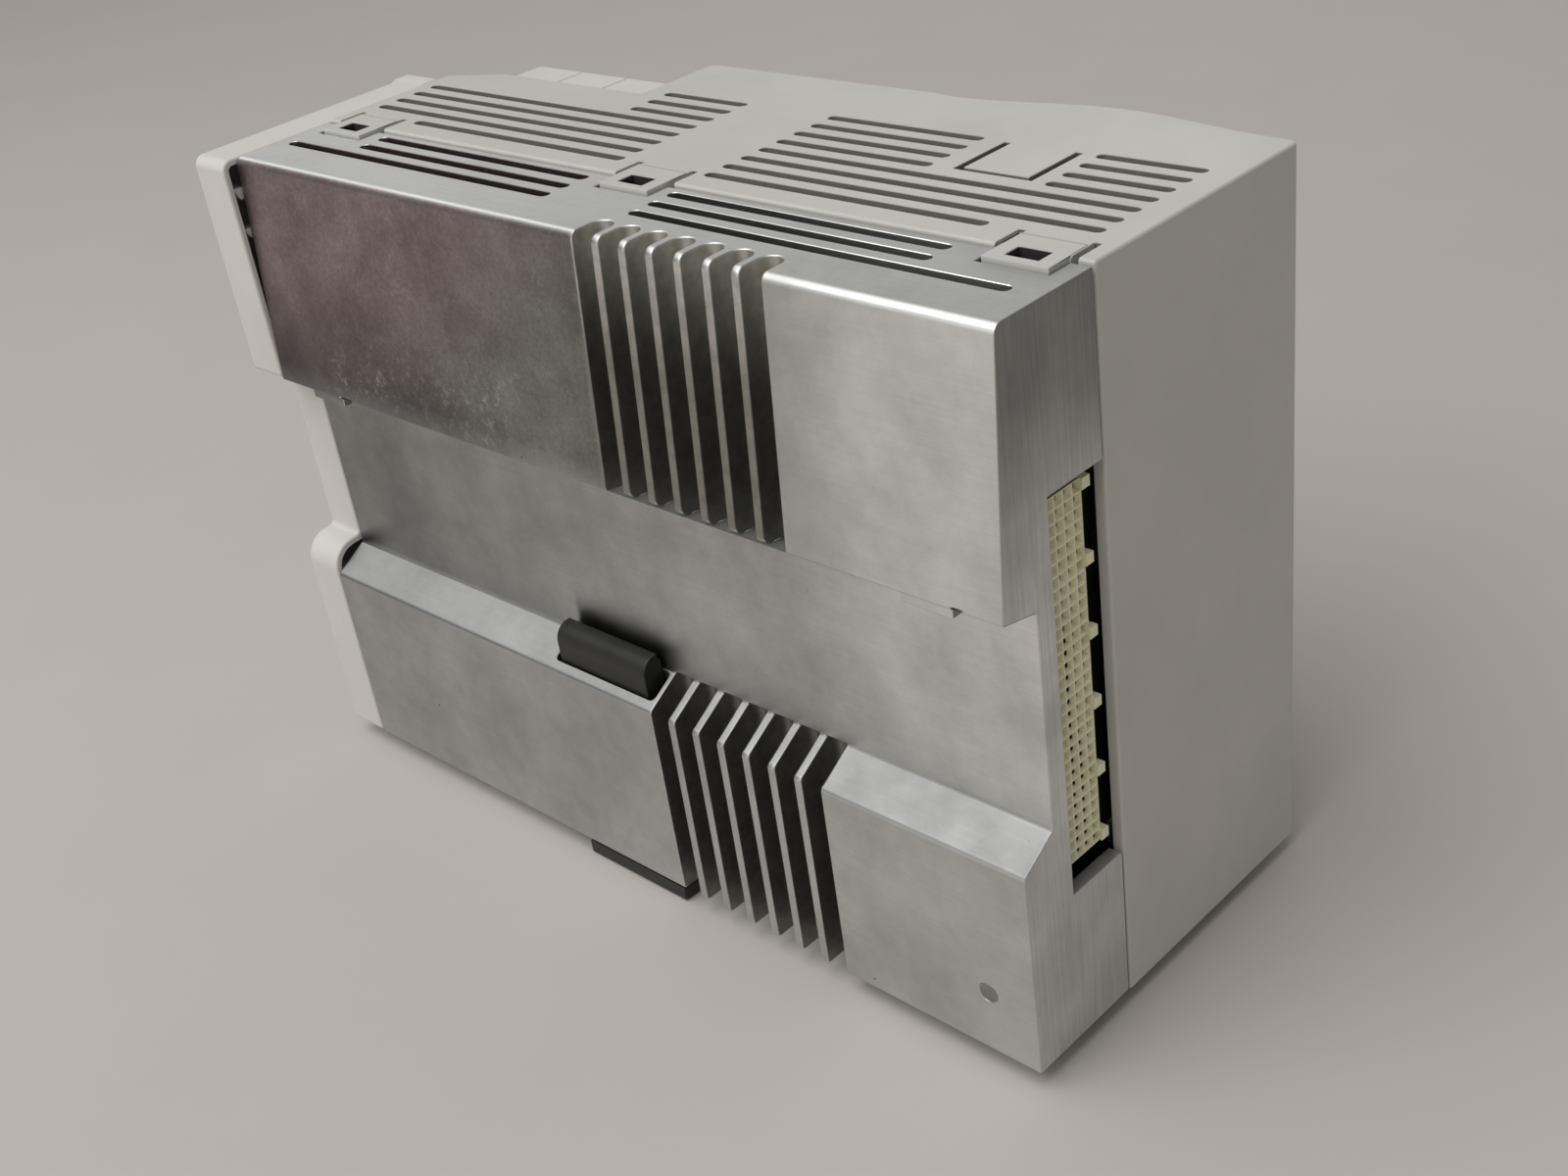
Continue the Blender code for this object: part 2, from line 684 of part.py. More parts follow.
def build_panel(parts, cutters, glass, dark, key_plastic):
    """Display with its window, the four keys, the reset button and the switches behind them."""
    blocks("display_window", [((0.0163, 0.0477), (0.0705, 0.0730), (0.0883, 0.1067))], parts, glass)
    blocks("display_module", [((0.0150, 0.0490), (0.0619, 0.0699), (0.0870, 0.1080))], parts, dark)
    for index, across in enumerate(KEY_CENTRES):
        stem = [(around(across, 0.0034), (0.0665, 0.0743), around(KEY_HEIGHT, 0.0024))]
        collar = [(around(across, 0.0045), (0.0682, 0.0699), around(KEY_HEIGHT, 0.0035))]
        key = blocks(f"display_key_{index + 1}", stem, parts, key_plastic)
        bevel(key, 0.0004)
        combine(key, "UNION", [blocks(f"key_collar_{index + 1}", collar, cutters)], cutters)
        set_origin(key, place(across, 0.0665, KEY_HEIGHT))
    reset = drums("reset_button", [RESET_CENTRE], 0.0017, (0.0665, 0.0726), parts, key_plastic, sides=14)
    reset_collar = drums("reset_collar", [RESET_CENTRE], 0.0027, (0.0682, 0.0699), cutters, sides=14)
    combine(reset, "UNION", [reset_collar], cutters)
    set_origin(reset, place(RESET_CENTRE[0], 0.0665, RESET_CENTRE[1]))

    front = PANEL_BOARD[1] + GAP
    spots = [(across, KEY_HEIGHT) for across in KEY_CENTRES] + [RESET_CENTRE]
    plungers = numbered_drums("switch_plunger", spots, 0.0012, (0.0634, 0.0654), cutters, None, sides=8)
    for index, (across, height) in enumerate(spots):
        can = [(around(across, 0.0030), (front, 0.0638), around(height, 0.0030))]
        switch = blocks(f"key_switch_{index + 1}", can, parts, dark)
        combine(switch, "UNION", [plungers[index]], cutters)


def build_ports(parts, cutters, finishes):
    """Network jacks, the serial port with its jack screws, the light pipes and the option bay's cover."""
    board_front = PROCESSOR_BOARD[1] + GAP
    for index, (across, height) in enumerate(JACK_CORNERS):
        wide = (across, across + JACK_SIZE[0])
        tall = (height, height + JACK_SIZE[1])
        box = [(wide, (board_front, 0.0730), tall)]
        jack = blocks(f"network_jack_{index + 1}", box, parts, finishes["shield"])
        middle = across + JACK_SIZE[0] / 2
        socket = [
            (around(middle, 0.0060), (0.0600, 0.0750), (height + 0.0040, height + 0.0118)),
            (around(middle, 0.0032), (0.0610, 0.0750), (height + 0.0022, height + 0.0050)),
        ]
        for part_of, spans in enumerate(socket):
            tool = blocks(f"jack_socket_{index + 1}_{part_of}", [spans], cutters)
            combine(jack, "DIFFERENCE", [tool], cutters)

    flange = [((0.0683, 0.0802), (board_front, 0.0699), (0.0263, 0.0567))]
    port = blocks("serial_port", flange, parts, finishes["shield"])
    shell = rounded(
        [
            (0.0702, 0.0340, 0.0012),
            (0.0783, 0.0326, 0.0012),
            (0.0783, 0.0504, 0.0012),
            (0.0702, 0.0490, 0.0012),
        ],
        segments=3,
    )
    nose = prism("serial_shell", [shell], "Y", (0.0690, 0.0755), cutters)
    bore = rounded(
        [
            (0.0708, 0.0347, 0.0008),
            (0.0777, 0.0335, 0.0008),
            (0.0777, 0.0495, 0.0008),
            (0.0708, 0.0483, 0.0008),
        ],
        segments=3,
    )
    hollow = prism("serial_hollow", [bore], "Y", (0.0700, 0.0780), cutters)
    combine(port, "UNION", [nose], cutters)
    combine(port, "DIFFERENCE", [hollow], cutters)
    centres = [(0.07425, 0.0290), (0.07425, 0.0540)]
    reach = (0.0702, 0.0745)
    numbered_drums("serial_jack_screw", centres, 0.0025, reach, parts, finishes["steel"], sides=6)

    spots = light_pipe_centres()
    ends = (spots[0][0] - 0.0012, spots[-1][0] + 0.0012)
    bridge = [(ends, (0.0640, 0.0660), around(spots[0][1], 0.0014))]
    pipes = blocks("light_pipes", bridge, parts, finishes["clear"])
    rods = drums("light_pipe_rods", spots, 0.0010, (board_front + GAP, 0.0731), cutters, sides=10)
    combine(pipes, "UNION", [rods], cutters)

    face = [((0.0883, 0.1097), (0.0705, 0.0728), (0.0263, 0.0597))]
    lid = blocks("option_cover", face, parts, finishes["cover"])
    catch = blocks("option_catch", [((0.0876, 0.1104), (0.0680, 0.0699), (0.0300, 0.0560))], cutters)
    neck = blocks("option_neck", [((0.0890, 0.1090), (0.0690, 0.0710), (0.0310, 0.0550))], cutters)
    combine(lid, "UNION", [catch, neck], cutters)


def build_memory_card(parts, cutters, dark, card, key_plastic):
    """Card socket on the main board, the card in it, and the eject button beside it."""
    behind = MAIN_BOARD[1] + GAP
    shroud = [((0.0182, 0.0258), (behind, 0.0620), (0.0120, 0.0600))]
    socket = blocks("card_socket", shroud, parts, dark)
    slot = [((0.0200, 0.0240), (0.0343, 0.0640), (0.0142, 0.0578))]
    combine(socket, "DIFFERENCE", [blocks("card_slot", slot, cutters)], cutters)
    body = [((0.02035, 0.02365), (0.0346, 0.0712), (0.0146, 0.0574))]
    made = blocks("memory_card", body, parts, card)
    set_origin(made, place(0.0220, 0.0712, 0.0360))
    rod = [((0.0288, 0.0330), (0.0360, 0.0758), (0.0150, 0.0190))]
    button = blocks("card_eject_button", rod, parts, key_plastic)
    bevel(button, 0.0004)
    collar = blocks("eject_collar", [((0.0280, 0.0338), (0.0660, 0.0680), (0.0142, 0.0198))], cutters)
    combine(button, "UNION", [collar], cutters)
    set_origin(button, place(0.0309, 0.0758, 0.0170))


def build_terminals(parts, cutters, finishes):
    """Pin header, and for each plug its body with wire entries and its hinged marker flap."""
    rows = [(height, column) for height in CONTACT_ROWS for column in CONTACT_COLUMNS]
    spots = []
    for index in range(PLUGS):
        start = PLUG_FIRST + index * PLUG_PITCH
        spots += [(start + column, height) for height, column in rows]

    base = [((0.1203, 0.1521), (SIGNAL_BOARD[1] + GAP, 0.0550), (0.0383, 0.0957))]
    header = blocks("terminal_header", base, parts, finishes["dark"])
    pins = [(around(a, 0.0005), (0.0540, 0.0615), around(h, 0.0005)) for a, h in spots]
    combine(header, "UNION", [blocks("header_pins", pins, cutters)], cutters)

    for index in range(PLUGS):
        start = PLUG_FIRST + index * PLUG_PITCH
        wide = (start, start + PLUG_WIDTH)
        body = rounded(
            [
                (PLUG_DEPTH[0], PLUG_FOOT, 0),
                (PLUG_DEPTH[0], PLUG_HEAD, 0),
                (PLUG_DEPTH[1], PLUG_HEAD, 0.0006),
                (PLUG_DEPTH[1], PLUG_FOOT, 0.0030),
            ],
            segments=3,
        )
        plug = prism(f"terminal_plug_{index + 1}", [body], "X", wide, parts, finishes["plug"])
        own = spots[index * len(rows):(index + 1) * len(rows)]
        sockets = [(around(a, 0.0008), (0.0540, 0.0630), around(h, 0.0008)) for a, h in own]
        releases = [(around(a, 0.0012), (0.0740, 0.0770), around(h + 0.0048, 0.0006)) for a, h in own]
        entries = drums(f"wire_entries_{index + 1}", own, 0.0016, (0.0680, 0.0770), cutters, sides=10)
        tools = [
            blocks(f"pin_sockets_{index + 1}", sockets, cutters),
            blocks(f"release_slots_{index + 1}", releases, cutters),
            entries,
        ]
        ears = [
            ((wide[0], wide[0] + 0.0009), (0.0730, 0.0752), (0.0970, 0.1006)),
            ((wide[1] - 0.0009, wide[1]), (0.0730, 0.0752), (0.0970, 0.1006)),
        ]
        combine(plug, "UNION", [blocks(f"flap_ears_{index + 1}", ears, cutters)], cutters)
        combine(plug, "DIFFERENCE", tools, cutters)
        set_origin(plug, place(start + PLUG_WIDTH / 2, PLUG_DEPTH[0], 0.0650))
        build_flap(index, wide, parts, cutters, finishes["flap"])


def build_flap(index, wide, parts, cutters, material):
    """Marker flap: a bent plate on a barrel that turns between the plug's ears."""
    pivot_depth, pivot_height = FLAP_PIVOT
    barrel = rounded(
        [
            (pivot_depth + 0.0011, pivot_height - 0.0011, 0.0010),
            (pivot_depth + 0.0011, pivot_height + 0.0011, 0),
            (0.07185, 0.1040, 0),
            (0.07055, 0.1036, 0),
            (pivot_depth - 0.0011, pivot_height - 0.0011, 0.0010),
        ],
        segments=4,
    )
    plate = [
        (0.07275, 0.1025),
        (0.0632, 0.1196),
        (0.0559, 0.1196),
        (0.0559, 0.1183),
        (0.0624, 0.1183),
        (0.07155, 0.1020),
    ]
    narrow = (wide[0] + 0.0013, wide[1] - 0.0013)
    flap = prism(f"marker_flap_{index + 1}", [plate], "X", wide, parts, material)
    combine(flap, "UNION", [prism(f"flap_barrel_{index + 1}", [barrel], "X", narrow, cutters)], cutters)
    set_origin(flap, place((wide[0] + wide[1]) / 2, pivot_depth, pivot_height))


def main():
    """Builds every piece in order."""
    clear_scene()
    parts = new_collection("controller_module")
    cutters = new_collection("cutters")
    aluminium = finish("milled_aluminium", (0.50, 0.49, 0.46), 0.35, 1.0)
    dark = finish("black_polyamide", (0.012, 0.012, 0.011), 0.45)
    steel = finish("steel", (0.55, 0.55, 0.55), 0.3, 1.0)
    brass = finish("nickelled_brass", (0.60, 0.58, 0.50), 0.3, 1.0)
    shield = finish("tinned_shield", (0.58, 0.58, 0.57), 0.3, 1.0)
    cover = finish("light_grey_cover", (0.45, 0.44, 0.42), 0.5)
    white = finish("white_end_plate", (0.62, 0.60, 0.57), 0.45)
    ivory = finish("ivory_connector", (0.46, 0.45, 0.32), 0.5)
    laminate = finish("green_laminate", (0.02, 0.12, 0.05), 0.4)
    package = finish("chip_package", (0.03, 0.03, 0.03), 0.5)
    pad = finish("thermal_silicone", (0.25, 0.30, 0.38), 0.7)
    sleeve = finish("capacitor_sleeve", (0.03, 0.04, 0.09), 0.35)
    glass = finish("display_window", (0.05, 0.06, 0.06), 0.1)
    keys = finish("key_plastic", (0.22, 0.22, 0.21), 0.5)
    clear = finish("clear_light_pipe", (0.75, 0.77, 0.78), 0.15)
    card = finish("memory_card", (0.10, 0.10, 0.11), 0.4)

    build_housing(parts, cutters, aluminium)
    build_latch(parts, cutters, dark, steel)
    build_cover(parts, cutters, cover)
    build_end_plate(parts, cutters, white)
    build_bus_connector(parts, cutters, ivory)
    build_boards(parts, laminate, brass)
    build_screws(parts, cutters, steel)
    build_cooling_path(parts, aluminium, pad, package)
    build_power_parts(parts, sleeve, steel)
    build_panel(parts, cutters, glass, dark, keys)
    build_ports(parts, cutters, {"shield": shield, "steel": steel, "clear": clear, "cover": cover})
    build_memory_card(parts, cutters, dark, card, keys)
    build_terminals(parts, cutters, {"dark": dark, "plug": white, "flap": white})


if __name__ == "__main__":
    main()
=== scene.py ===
"""Looks of a rail-mounted controller module: cast aluminium back, moulded cover, latch and connectors.

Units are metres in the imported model's own frame: +Z is up, the rail groove faces +Y and the front faces -Y.
Most places are given from the three datums of the aluminium housing: across its width, in depth forward
from its back face, and in height above its underside.
"""

import logging
import math
from dataclasses import dataclass
from enum import Enum, IntEnum
from typing import Any, Callable, Iterable, NamedTuple, Sequence

import bmesh
import bpy
from mathutils import Matrix, Vector


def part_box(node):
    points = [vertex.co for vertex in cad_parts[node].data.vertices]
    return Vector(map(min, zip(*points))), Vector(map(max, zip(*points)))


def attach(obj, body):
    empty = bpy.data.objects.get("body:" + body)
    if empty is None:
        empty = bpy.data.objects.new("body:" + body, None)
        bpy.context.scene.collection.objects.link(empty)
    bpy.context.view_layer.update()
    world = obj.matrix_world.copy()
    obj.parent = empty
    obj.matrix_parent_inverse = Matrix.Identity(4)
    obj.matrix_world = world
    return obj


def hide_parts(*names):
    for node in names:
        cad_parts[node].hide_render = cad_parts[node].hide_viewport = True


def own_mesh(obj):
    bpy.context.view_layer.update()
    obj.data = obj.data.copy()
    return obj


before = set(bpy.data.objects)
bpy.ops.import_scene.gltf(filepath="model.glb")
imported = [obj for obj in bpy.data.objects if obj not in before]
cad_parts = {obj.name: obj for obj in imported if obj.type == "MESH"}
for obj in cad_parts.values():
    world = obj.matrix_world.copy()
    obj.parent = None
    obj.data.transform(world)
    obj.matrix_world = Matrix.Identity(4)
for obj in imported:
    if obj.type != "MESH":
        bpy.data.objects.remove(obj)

Span = tuple[float, float]
Box = tuple[Span, Span, Span]
Outline = Sequence[tuple[float, float]]

LOG = logging.getLogger("controller_module")
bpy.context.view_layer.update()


class Axis(Enum):
    """The datum axis that a prism runs along."""

    ACROSS = "across"
    DEPTH = "depth"
    HEIGHT = "height"


class Layer(IntEnum):
    """Which of a piece's materials a face takes."""

    NEIGHBOUR = -1
    FACE = 0
    EDGE = 1
    INSIDE = 2
    PAINTED_SHADOW = 3


@dataclass(frozen=True)
class Datums:
    """The housing's three datums: its connector end, its back face and its underside."""

    end: float
    back: float
    foot: float

    @classmethod
    def of_housing(cls) -> "Datums":
        """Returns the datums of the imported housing."""
        low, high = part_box("heat_sink_housing")
        return cls(low.x, high.y, low.z)

    def place(self, across: float, depth: float, height: float) -> Vector:
        """Returns the point in the frame for a place measured from the datums."""
        return Vector((self.end + across, self.back - depth, self.foot + height))


DATUMS = Datums.of_housing()


class Spot(NamedTuple):
    """Where a face's middle lies from the datums, and which way the face looks."""

    across: float
    depth: float
    height: float
    normal: Vector


def around(centre: float, half: float) -> Span:
    """Returns a span of twice the half width about a centre."""
    return (centre - half, centre + half)


def rounded(
    corners: Sequence[tuple[float, float, float]], segments: int = 6
) -> list[tuple[float, float]]:
    """Rounds the corners of an outline.

    Args:
        corners: Each corner as (u, v, radius).
        segments: Straight pieces in each rounded corner.

    Returns:
        The outline's points in order.
    """
    points: list[tuple[float, float]] = []
    for index, (u, v, radius) in enumerate(corners):
        corner = Vector((u, v))
        before = (Vector(corners[index - 1][:2]) - corner).normalized()
        after = (Vector(corners[(index + 1) % len(corners)][:2]) - corner).normalized()
        if radius == 0:
            points.append((u, v))
            continue
        half = before.angle(after) / 2
        middle = corner + (before + after).normalized() * radius / math.sin(half)
        start = corner + before * radius / math.tan(half) - middle
        end = corner + after * radius / math.tan(half) - middle
        sweep = start.angle_signed(end)
        for step in range(segments + 1):
            point = middle + Matrix.Rotation(-sweep * step / segments, 2) @ start
            points.append((point.x, point.y))
    return points


def stadium(span: Span, middle: float, width: float, segments: int = 8) -> list[tuple[float, float]]:
    """Makes the outline of a slot with round ends that runs along the first axis.

    Args:
        span: Where the slot starts and ends.
        middle: Its middle line on the second axis.
        width: Its width.
        segments: Straight pieces in each round end.

    Returns:
        The outline's points in order.
    """
    radius = width / 2
    points = []
    for centre, first in ((span[1] - radius, -90), (span[0] + radius, 90)):
        for step in range(segments + 1):
            angle = math.radians(first + 180 * step / segments)
            points.append((centre + radius * math.cos(angle), middle + radius * math.sin(angle)))
    return points


class Shape:
    """A solid that is built, cut and joined in mesh code, and then takes the place of CAD nodes."""

    def __init__(self, name: str, mesh: bpy.types.Mesh) -> None:
        """Puts a mesh in the scene as a solid to work on.

        Args:
            name: The solid's name.
            mesh: Its mesh.
        """
        self.thing = bpy.data.objects.new(name, mesh)
        bpy.context.scene.collection.objects.link(self.thing)
        self.spent: list[bpy.types.Object] = []

    @staticmethod
    def closed(name: str, shape: bmesh.types.BMesh) -> bpy.types.Mesh:
        """Turns every body of a bmesh to face outwards and makes a mesh of it.

        Args:
            name: The mesh's name.
            shape: The bmesh, which is freed.

        Returns:
            The mesh.
        """
        bmesh.ops.recalc_face_normals(shape, faces=shape.faces)
        left = set(shape.faces)
        while left:
            body, fresh = [], [left.pop()]
            while fresh:
                face = fresh.pop()
                body.append(face)
                near = {other for edge in face.edges for other in edge.link_faces} & left
                fresh += near
                left -= near
            volume = sum(
                face.verts[0].co.dot(second.co.cross(third.co))
                for face in body
                for second, third in zip(face.verts[1:], face.verts[2:])
            )
            if volume < 0:
                bmesh.ops.reverse_faces(shape, faces=body)
        mesh = bpy.data.meshes.new(name)
        shape.to_mesh(mesh)
        shape.free()
        return mesh

    @classmethod
    def boxes(cls, name: str, spans: Iterable[Box]) -> "Shape":
        """Makes blocks.

        Args:
            name: The solid's name.
            spans: The (across, depth, height) spans of each block.

        Returns:
            One solid with all the blocks.
        """
        shape = bmesh.new()
        for across, depth, height in spans:
            low = DATUMS.place(across[0], depth[1], height[0])
            high = DATUMS.place(across[1], depth[0], height[1])
            sizes = Matrix.Diagonal((*(high - low), 1.0))
            bmesh.ops.create_cube(shape, size=1.0, matrix=Matrix.Translation((low + high) / 2) @ sizes)
        return cls(name, cls.closed(name, shape))

    @classmethod
    def drums(
        cls, name: str, centres: Iterable[tuple[float, float]], radius: float, depth: Span, sides: int = 32
    ) -> "Shape":
        """Makes round bars that run forward.

        Args:
            name: The solid's name.
            centres: The (across, height) centre of each bar.
            radius: The bars' radius.
            depth: Where they start and end.
            sides: Flat sides that stand for the circle.

        Returns:
            One solid with all the bars.
        """
        shape = bmesh.new()
        for across, height in centres:
            where = Matrix.Translation(DATUMS.place(across, sum(depth) / 2, height))
            bmesh.ops.create_cone(
                shape,
                cap_ends=True,
                segments=sides,
                radius1=radius,
                radius2=radius,
                depth=depth[1] - depth[0],
                matrix=where @ Matrix.Rotation(math.pi / 2, 4, "X"),
            )
        return cls(name, cls.closed(name, shape))

    @classmethod
    def prism(cls, name: str, outlines: Iterable[Outline], along: Axis, span: Span) -> "Shape":
        """Gives flat outlines a thickness.

        Args:
            name: The solid's name.
            outlines: Outlines in the two other datum axes. One inside another is a hole.
            along: The axis that the thickness runs along.
            span: Where the thickness starts and ends.

        Returns:
            One solid with all the outlines.
        """
        curve = bpy.data.curves.new(name, "CURVE")
        curve.dimensions = "2D"
        curve.fill_mode = "BOTH"
        curve.extrude = (span[1] - span[0]) / 2
        for outline in outlines:
            spline = curve.splines.new("POLY")
            spline.points.add(len(outline) - 1)
            spline.use_cyclic_u = True
            for point, (u, v) in zip(spline.points, outline):
                point.co = (u, v, 0, 1)
        drawn = bpy.data.objects.new(name, curve)
        bpy.context.scene.collection.objects.link(drawn)
        flat = bpy.data.meshes.new_from_object(drawn.evaluated_get(bpy.context.evaluated_depsgraph_get()))
        bpy.data.objects.remove(drawn, do_unlink=True)
        shape = bmesh.new()
        shape.from_mesh(flat)
        bmesh.ops.remove_doubles(shape, verts=shape.verts, dist=1e-6)
        bmesh.ops.dissolve_limit(shape, angle_limit=0.001, verts=shape.verts, edges=shape.edges)
        for vertex in shape.verts:
            u, v, w = vertex.co
            w += sum(span) / 2
            ordered = {Axis.ACROSS: (w, u, v), Axis.DEPTH: (u, w, v), Axis.HEIGHT: (u, v, w)}[along]
            vertex.co = DATUMS.place(*ordered)
        return cls(name, cls.closed(name, shape))

    @classmethod
    def copy_of(cls, node: str, name: str) -> "Shape":
        """Copies a CAD node's shape, with its flat faces joined up from their triangles.

        Args:
            node: The CAD node.
            name: The new solid's name.

        Returns:
            The new solid.
        """
        shape = bmesh.new()
        shape.from_mesh(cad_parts[node].data)
        bmesh.ops.remove_doubles(shape, verts=shape.verts, dist=1e-6)
        bmesh.ops.dissolve_limit(shape, angle_limit=0.01, verts=shape.verts, edges=shape.edges)
        return cls(name, cls.closed(name, shape))

    def _boolean(self, operation: str, tools: Iterable["Shape"]) -> "Shape":
        """Adds an exact Boolean with each tool and hides the tools.

        Args:
            operation: Blender's name for the kind of Boolean.
            tools: The solids to join or cut.

        Returns:
            This solid.
        """
        for tool in tools:
            tool.thing.hide_render = True
            modifier = self.thing.modifiers.new(tool.thing.name, "BOOLEAN")
            modifier.operation = operation
            modifier.object = tool.thing
            self.spent += [tool.thing, *tool.spent]
        return self

    def join(self, *tools: "Shape") -> "Shape":
        """Joins the tools to this solid."""
        return self._boolean("UNION", tools)

    def cut(self, *tools: "Shape") -> "Shape":
        """Cuts the tools from this solid."""
        return self._boolean("DIFFERENCE", tools)

    def ease(
        self, width: float, segments: int = 3, over: float = 33.0, layer: Layer = Layer.NEIGHBOUR
    ) -> "Shape":
        """Rounds the sharp edges.

        Args:
            width: Width of the rounding on each side.
            segments: Flat strips in the rounding.
            over: Only edges that turn by more than this, in degrees, are rounded.
            layer: The material that the rounding takes.

        Returns:
            This solid.
        """
        modifier = self.thing.modifiers.new("Eased edges", "BEVEL")
        modifier.width = width
        modifier.segments = segments
        modifier.limit_method = "ANGLE"
        modifier.angle_limit = math.radians(over)
        modifier.use_clamp_overlap = False
        modifier.material = int(layer)
        return self

    def bake(self) -> "Shape":
        """Fixes the modifiers so far into the mesh.

        Returns:
            This solid.
        """
        old = self.thing.data
        graph = bpy.context.evaluated_depsgraph_get()
        self.thing.data = bpy.data.meshes.new_from_object(self.thing.evaluated_get(graph))
        self.thing.modifiers.clear()
        bpy.data.meshes.remove(old)
        for tool in self.spent:
            bpy.data.objects.remove(tool, do_unlink=True)
        self.spent = []
        return self

    def paint(self, layer: Layer, chosen: Callable[[Spot], bool]) -> "Shape":
        """Gives some of the baked faces another of the materials.

        Args:
            layer: The material.
            chosen: Says whether the face at a spot takes the material.

        Returns:
            This solid.
        """
        for face in self.thing.data.polygons:
            middle = face.center
            spot = Spot(
                middle.x - DATUMS.end, DATUMS.back - middle.y, middle.z - DATUMS.foot, face.normal
            )
            if chosen(spot):
                face.material_index = int(layer)
        return self

    def settle(
        self, body: str, nodes: Sequence[str], slot: str, finishes: Sequence[bpy.types.Material]
    ) -> bpy.types.Object:
        """Finishes the mesh and puts it in the model.

        Args:
            body: The CAD body it moves with.
            nodes: The CAD nodes it stands for.
            slot: The record's material slot. It is not used.
            finishes: Its materials, in the order that its faces use.

        Returns:
            The finished piece.
        """
        for material in finishes:
            self.thing.data.materials.append(material)
        self.bake()
        mesh = self.thing.data
        mesh.shade_smooth()
        mesh.set_sharp_from_angle(angle=math.radians(30.3))
        weighted = self.thing.modifiers.new("Even shading", "WEIGHTED_NORMAL")
        weighted.keep_sharp = True
        weighted.weight = 100
        self.bake()
        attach(self.thing, body)
        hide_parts(*nodes)
        return self.thing


def linear(colour: str) -> tuple[float, float, float, float]:
    """Turns an sRGB hex colour into linear light.

    Args:
        colour: The colour as "#RRGGBB".

    Returns:
        Linear red, green and blue, and an alpha of one.
    """
    parts = [int(colour[start : start + 2], 16) / 255 for start in (1, 3, 5)]
    light = [part / 12.92 if part <= 0.04045 else ((part + 0.055) / 1.055) ** 2.4 for part in parts]
    return (light[0], light[1], light[2], 1.0)


def add(
    tree: bpy.types.NodeTree, kind: str, inputs: dict[str | int, Any] | None = None, **settings: Any
) -> bpy.types.Node:
    """Adds a node with its settings and links.

    Args:
        tree: The material's node tree.
        kind: Blender's name for the node.
        inputs: What each input takes: another node's output, or a value.
        settings: The node's own settings.

    Returns:
        The new node.
    """
    node = tree.nodes.new(kind)
    for name, value in settings.items():
        setattr(node, name, value)
    for name, value in (inputs or {}).items():
        if isinstance(value, bpy.types.NodeSocket):
            tree.links.new(value, node.inputs[name])
        else:
            node.inputs[name].default_value = value
    return node


def start_material(name: str) -> tuple[bpy.types.Material, bpy.types.NodeTree, bpy.types.Node]:
    """Starts a material.

    Args:
        name: The material's name.

    Returns:
        The material, its node tree and its Principled shader.
    """
    material = bpy.data.materials.new(name)
    material.use_nodes = True
    tree = material.node_tree
    return material, tree, tree.nodes["Principled BSDF"]


def per_metre(millimetres: float) -> float:
    """Returns the texture scale whose features are about this many millimetres apart."""
    return 1000.0 / millimetres


class Follows(Enum):
    """What a change over the casting follows."""

    SIDELONG = "how squarely a face looks to the left or the right"
    FACING_BACK = "how squarely a face looks back"
    FACING_UP = "how squarely a face looks up"
    LEAN = "how far a face leans between back and up"
    ACROSS = "place across the module"
    HEIGHT = "height"
    CLOUD = "cloudy patches"
    BROAD = "broad smears"
    GRIT = "grit of the aged film"
    HAIRS = "fine scratches"
    DRIFT = "place across, blurred by the clouds"
    TILT = "place towards the far top, blurred by the clouds"


@dataclass(frozen=True)
class Ramp:
    """A named change: what it follows, from where to where, and its strength at the two ends."""

    name: str
    follows: Follows
    start: float
    end: float
    first: float = 0.0
    last: float = 1.0
    smooth: bool = False


@dataclass(frozen=True)
class Noise:
    """An uneven pattern whose features are about so many millimetres apart."""

    apart_mm: float
    detail: float
    roughness: float = 0.5
    distortion: float = 0.0

    def inputs(self, where: bpy.types.NodeSocket) -> dict[str, Any]:
        """Sets out a noise texture that draws the pattern.

        Args:
            where: The place on the object.

        Returns:
            The texture's inputs.
        """
        return {
            "Vector": where,
            "Scale": per_metre(self.apart_mm),
            "Detail": self.detail,
            "Roughness": self.roughness,
            "Distortion": self.distortion,
        }


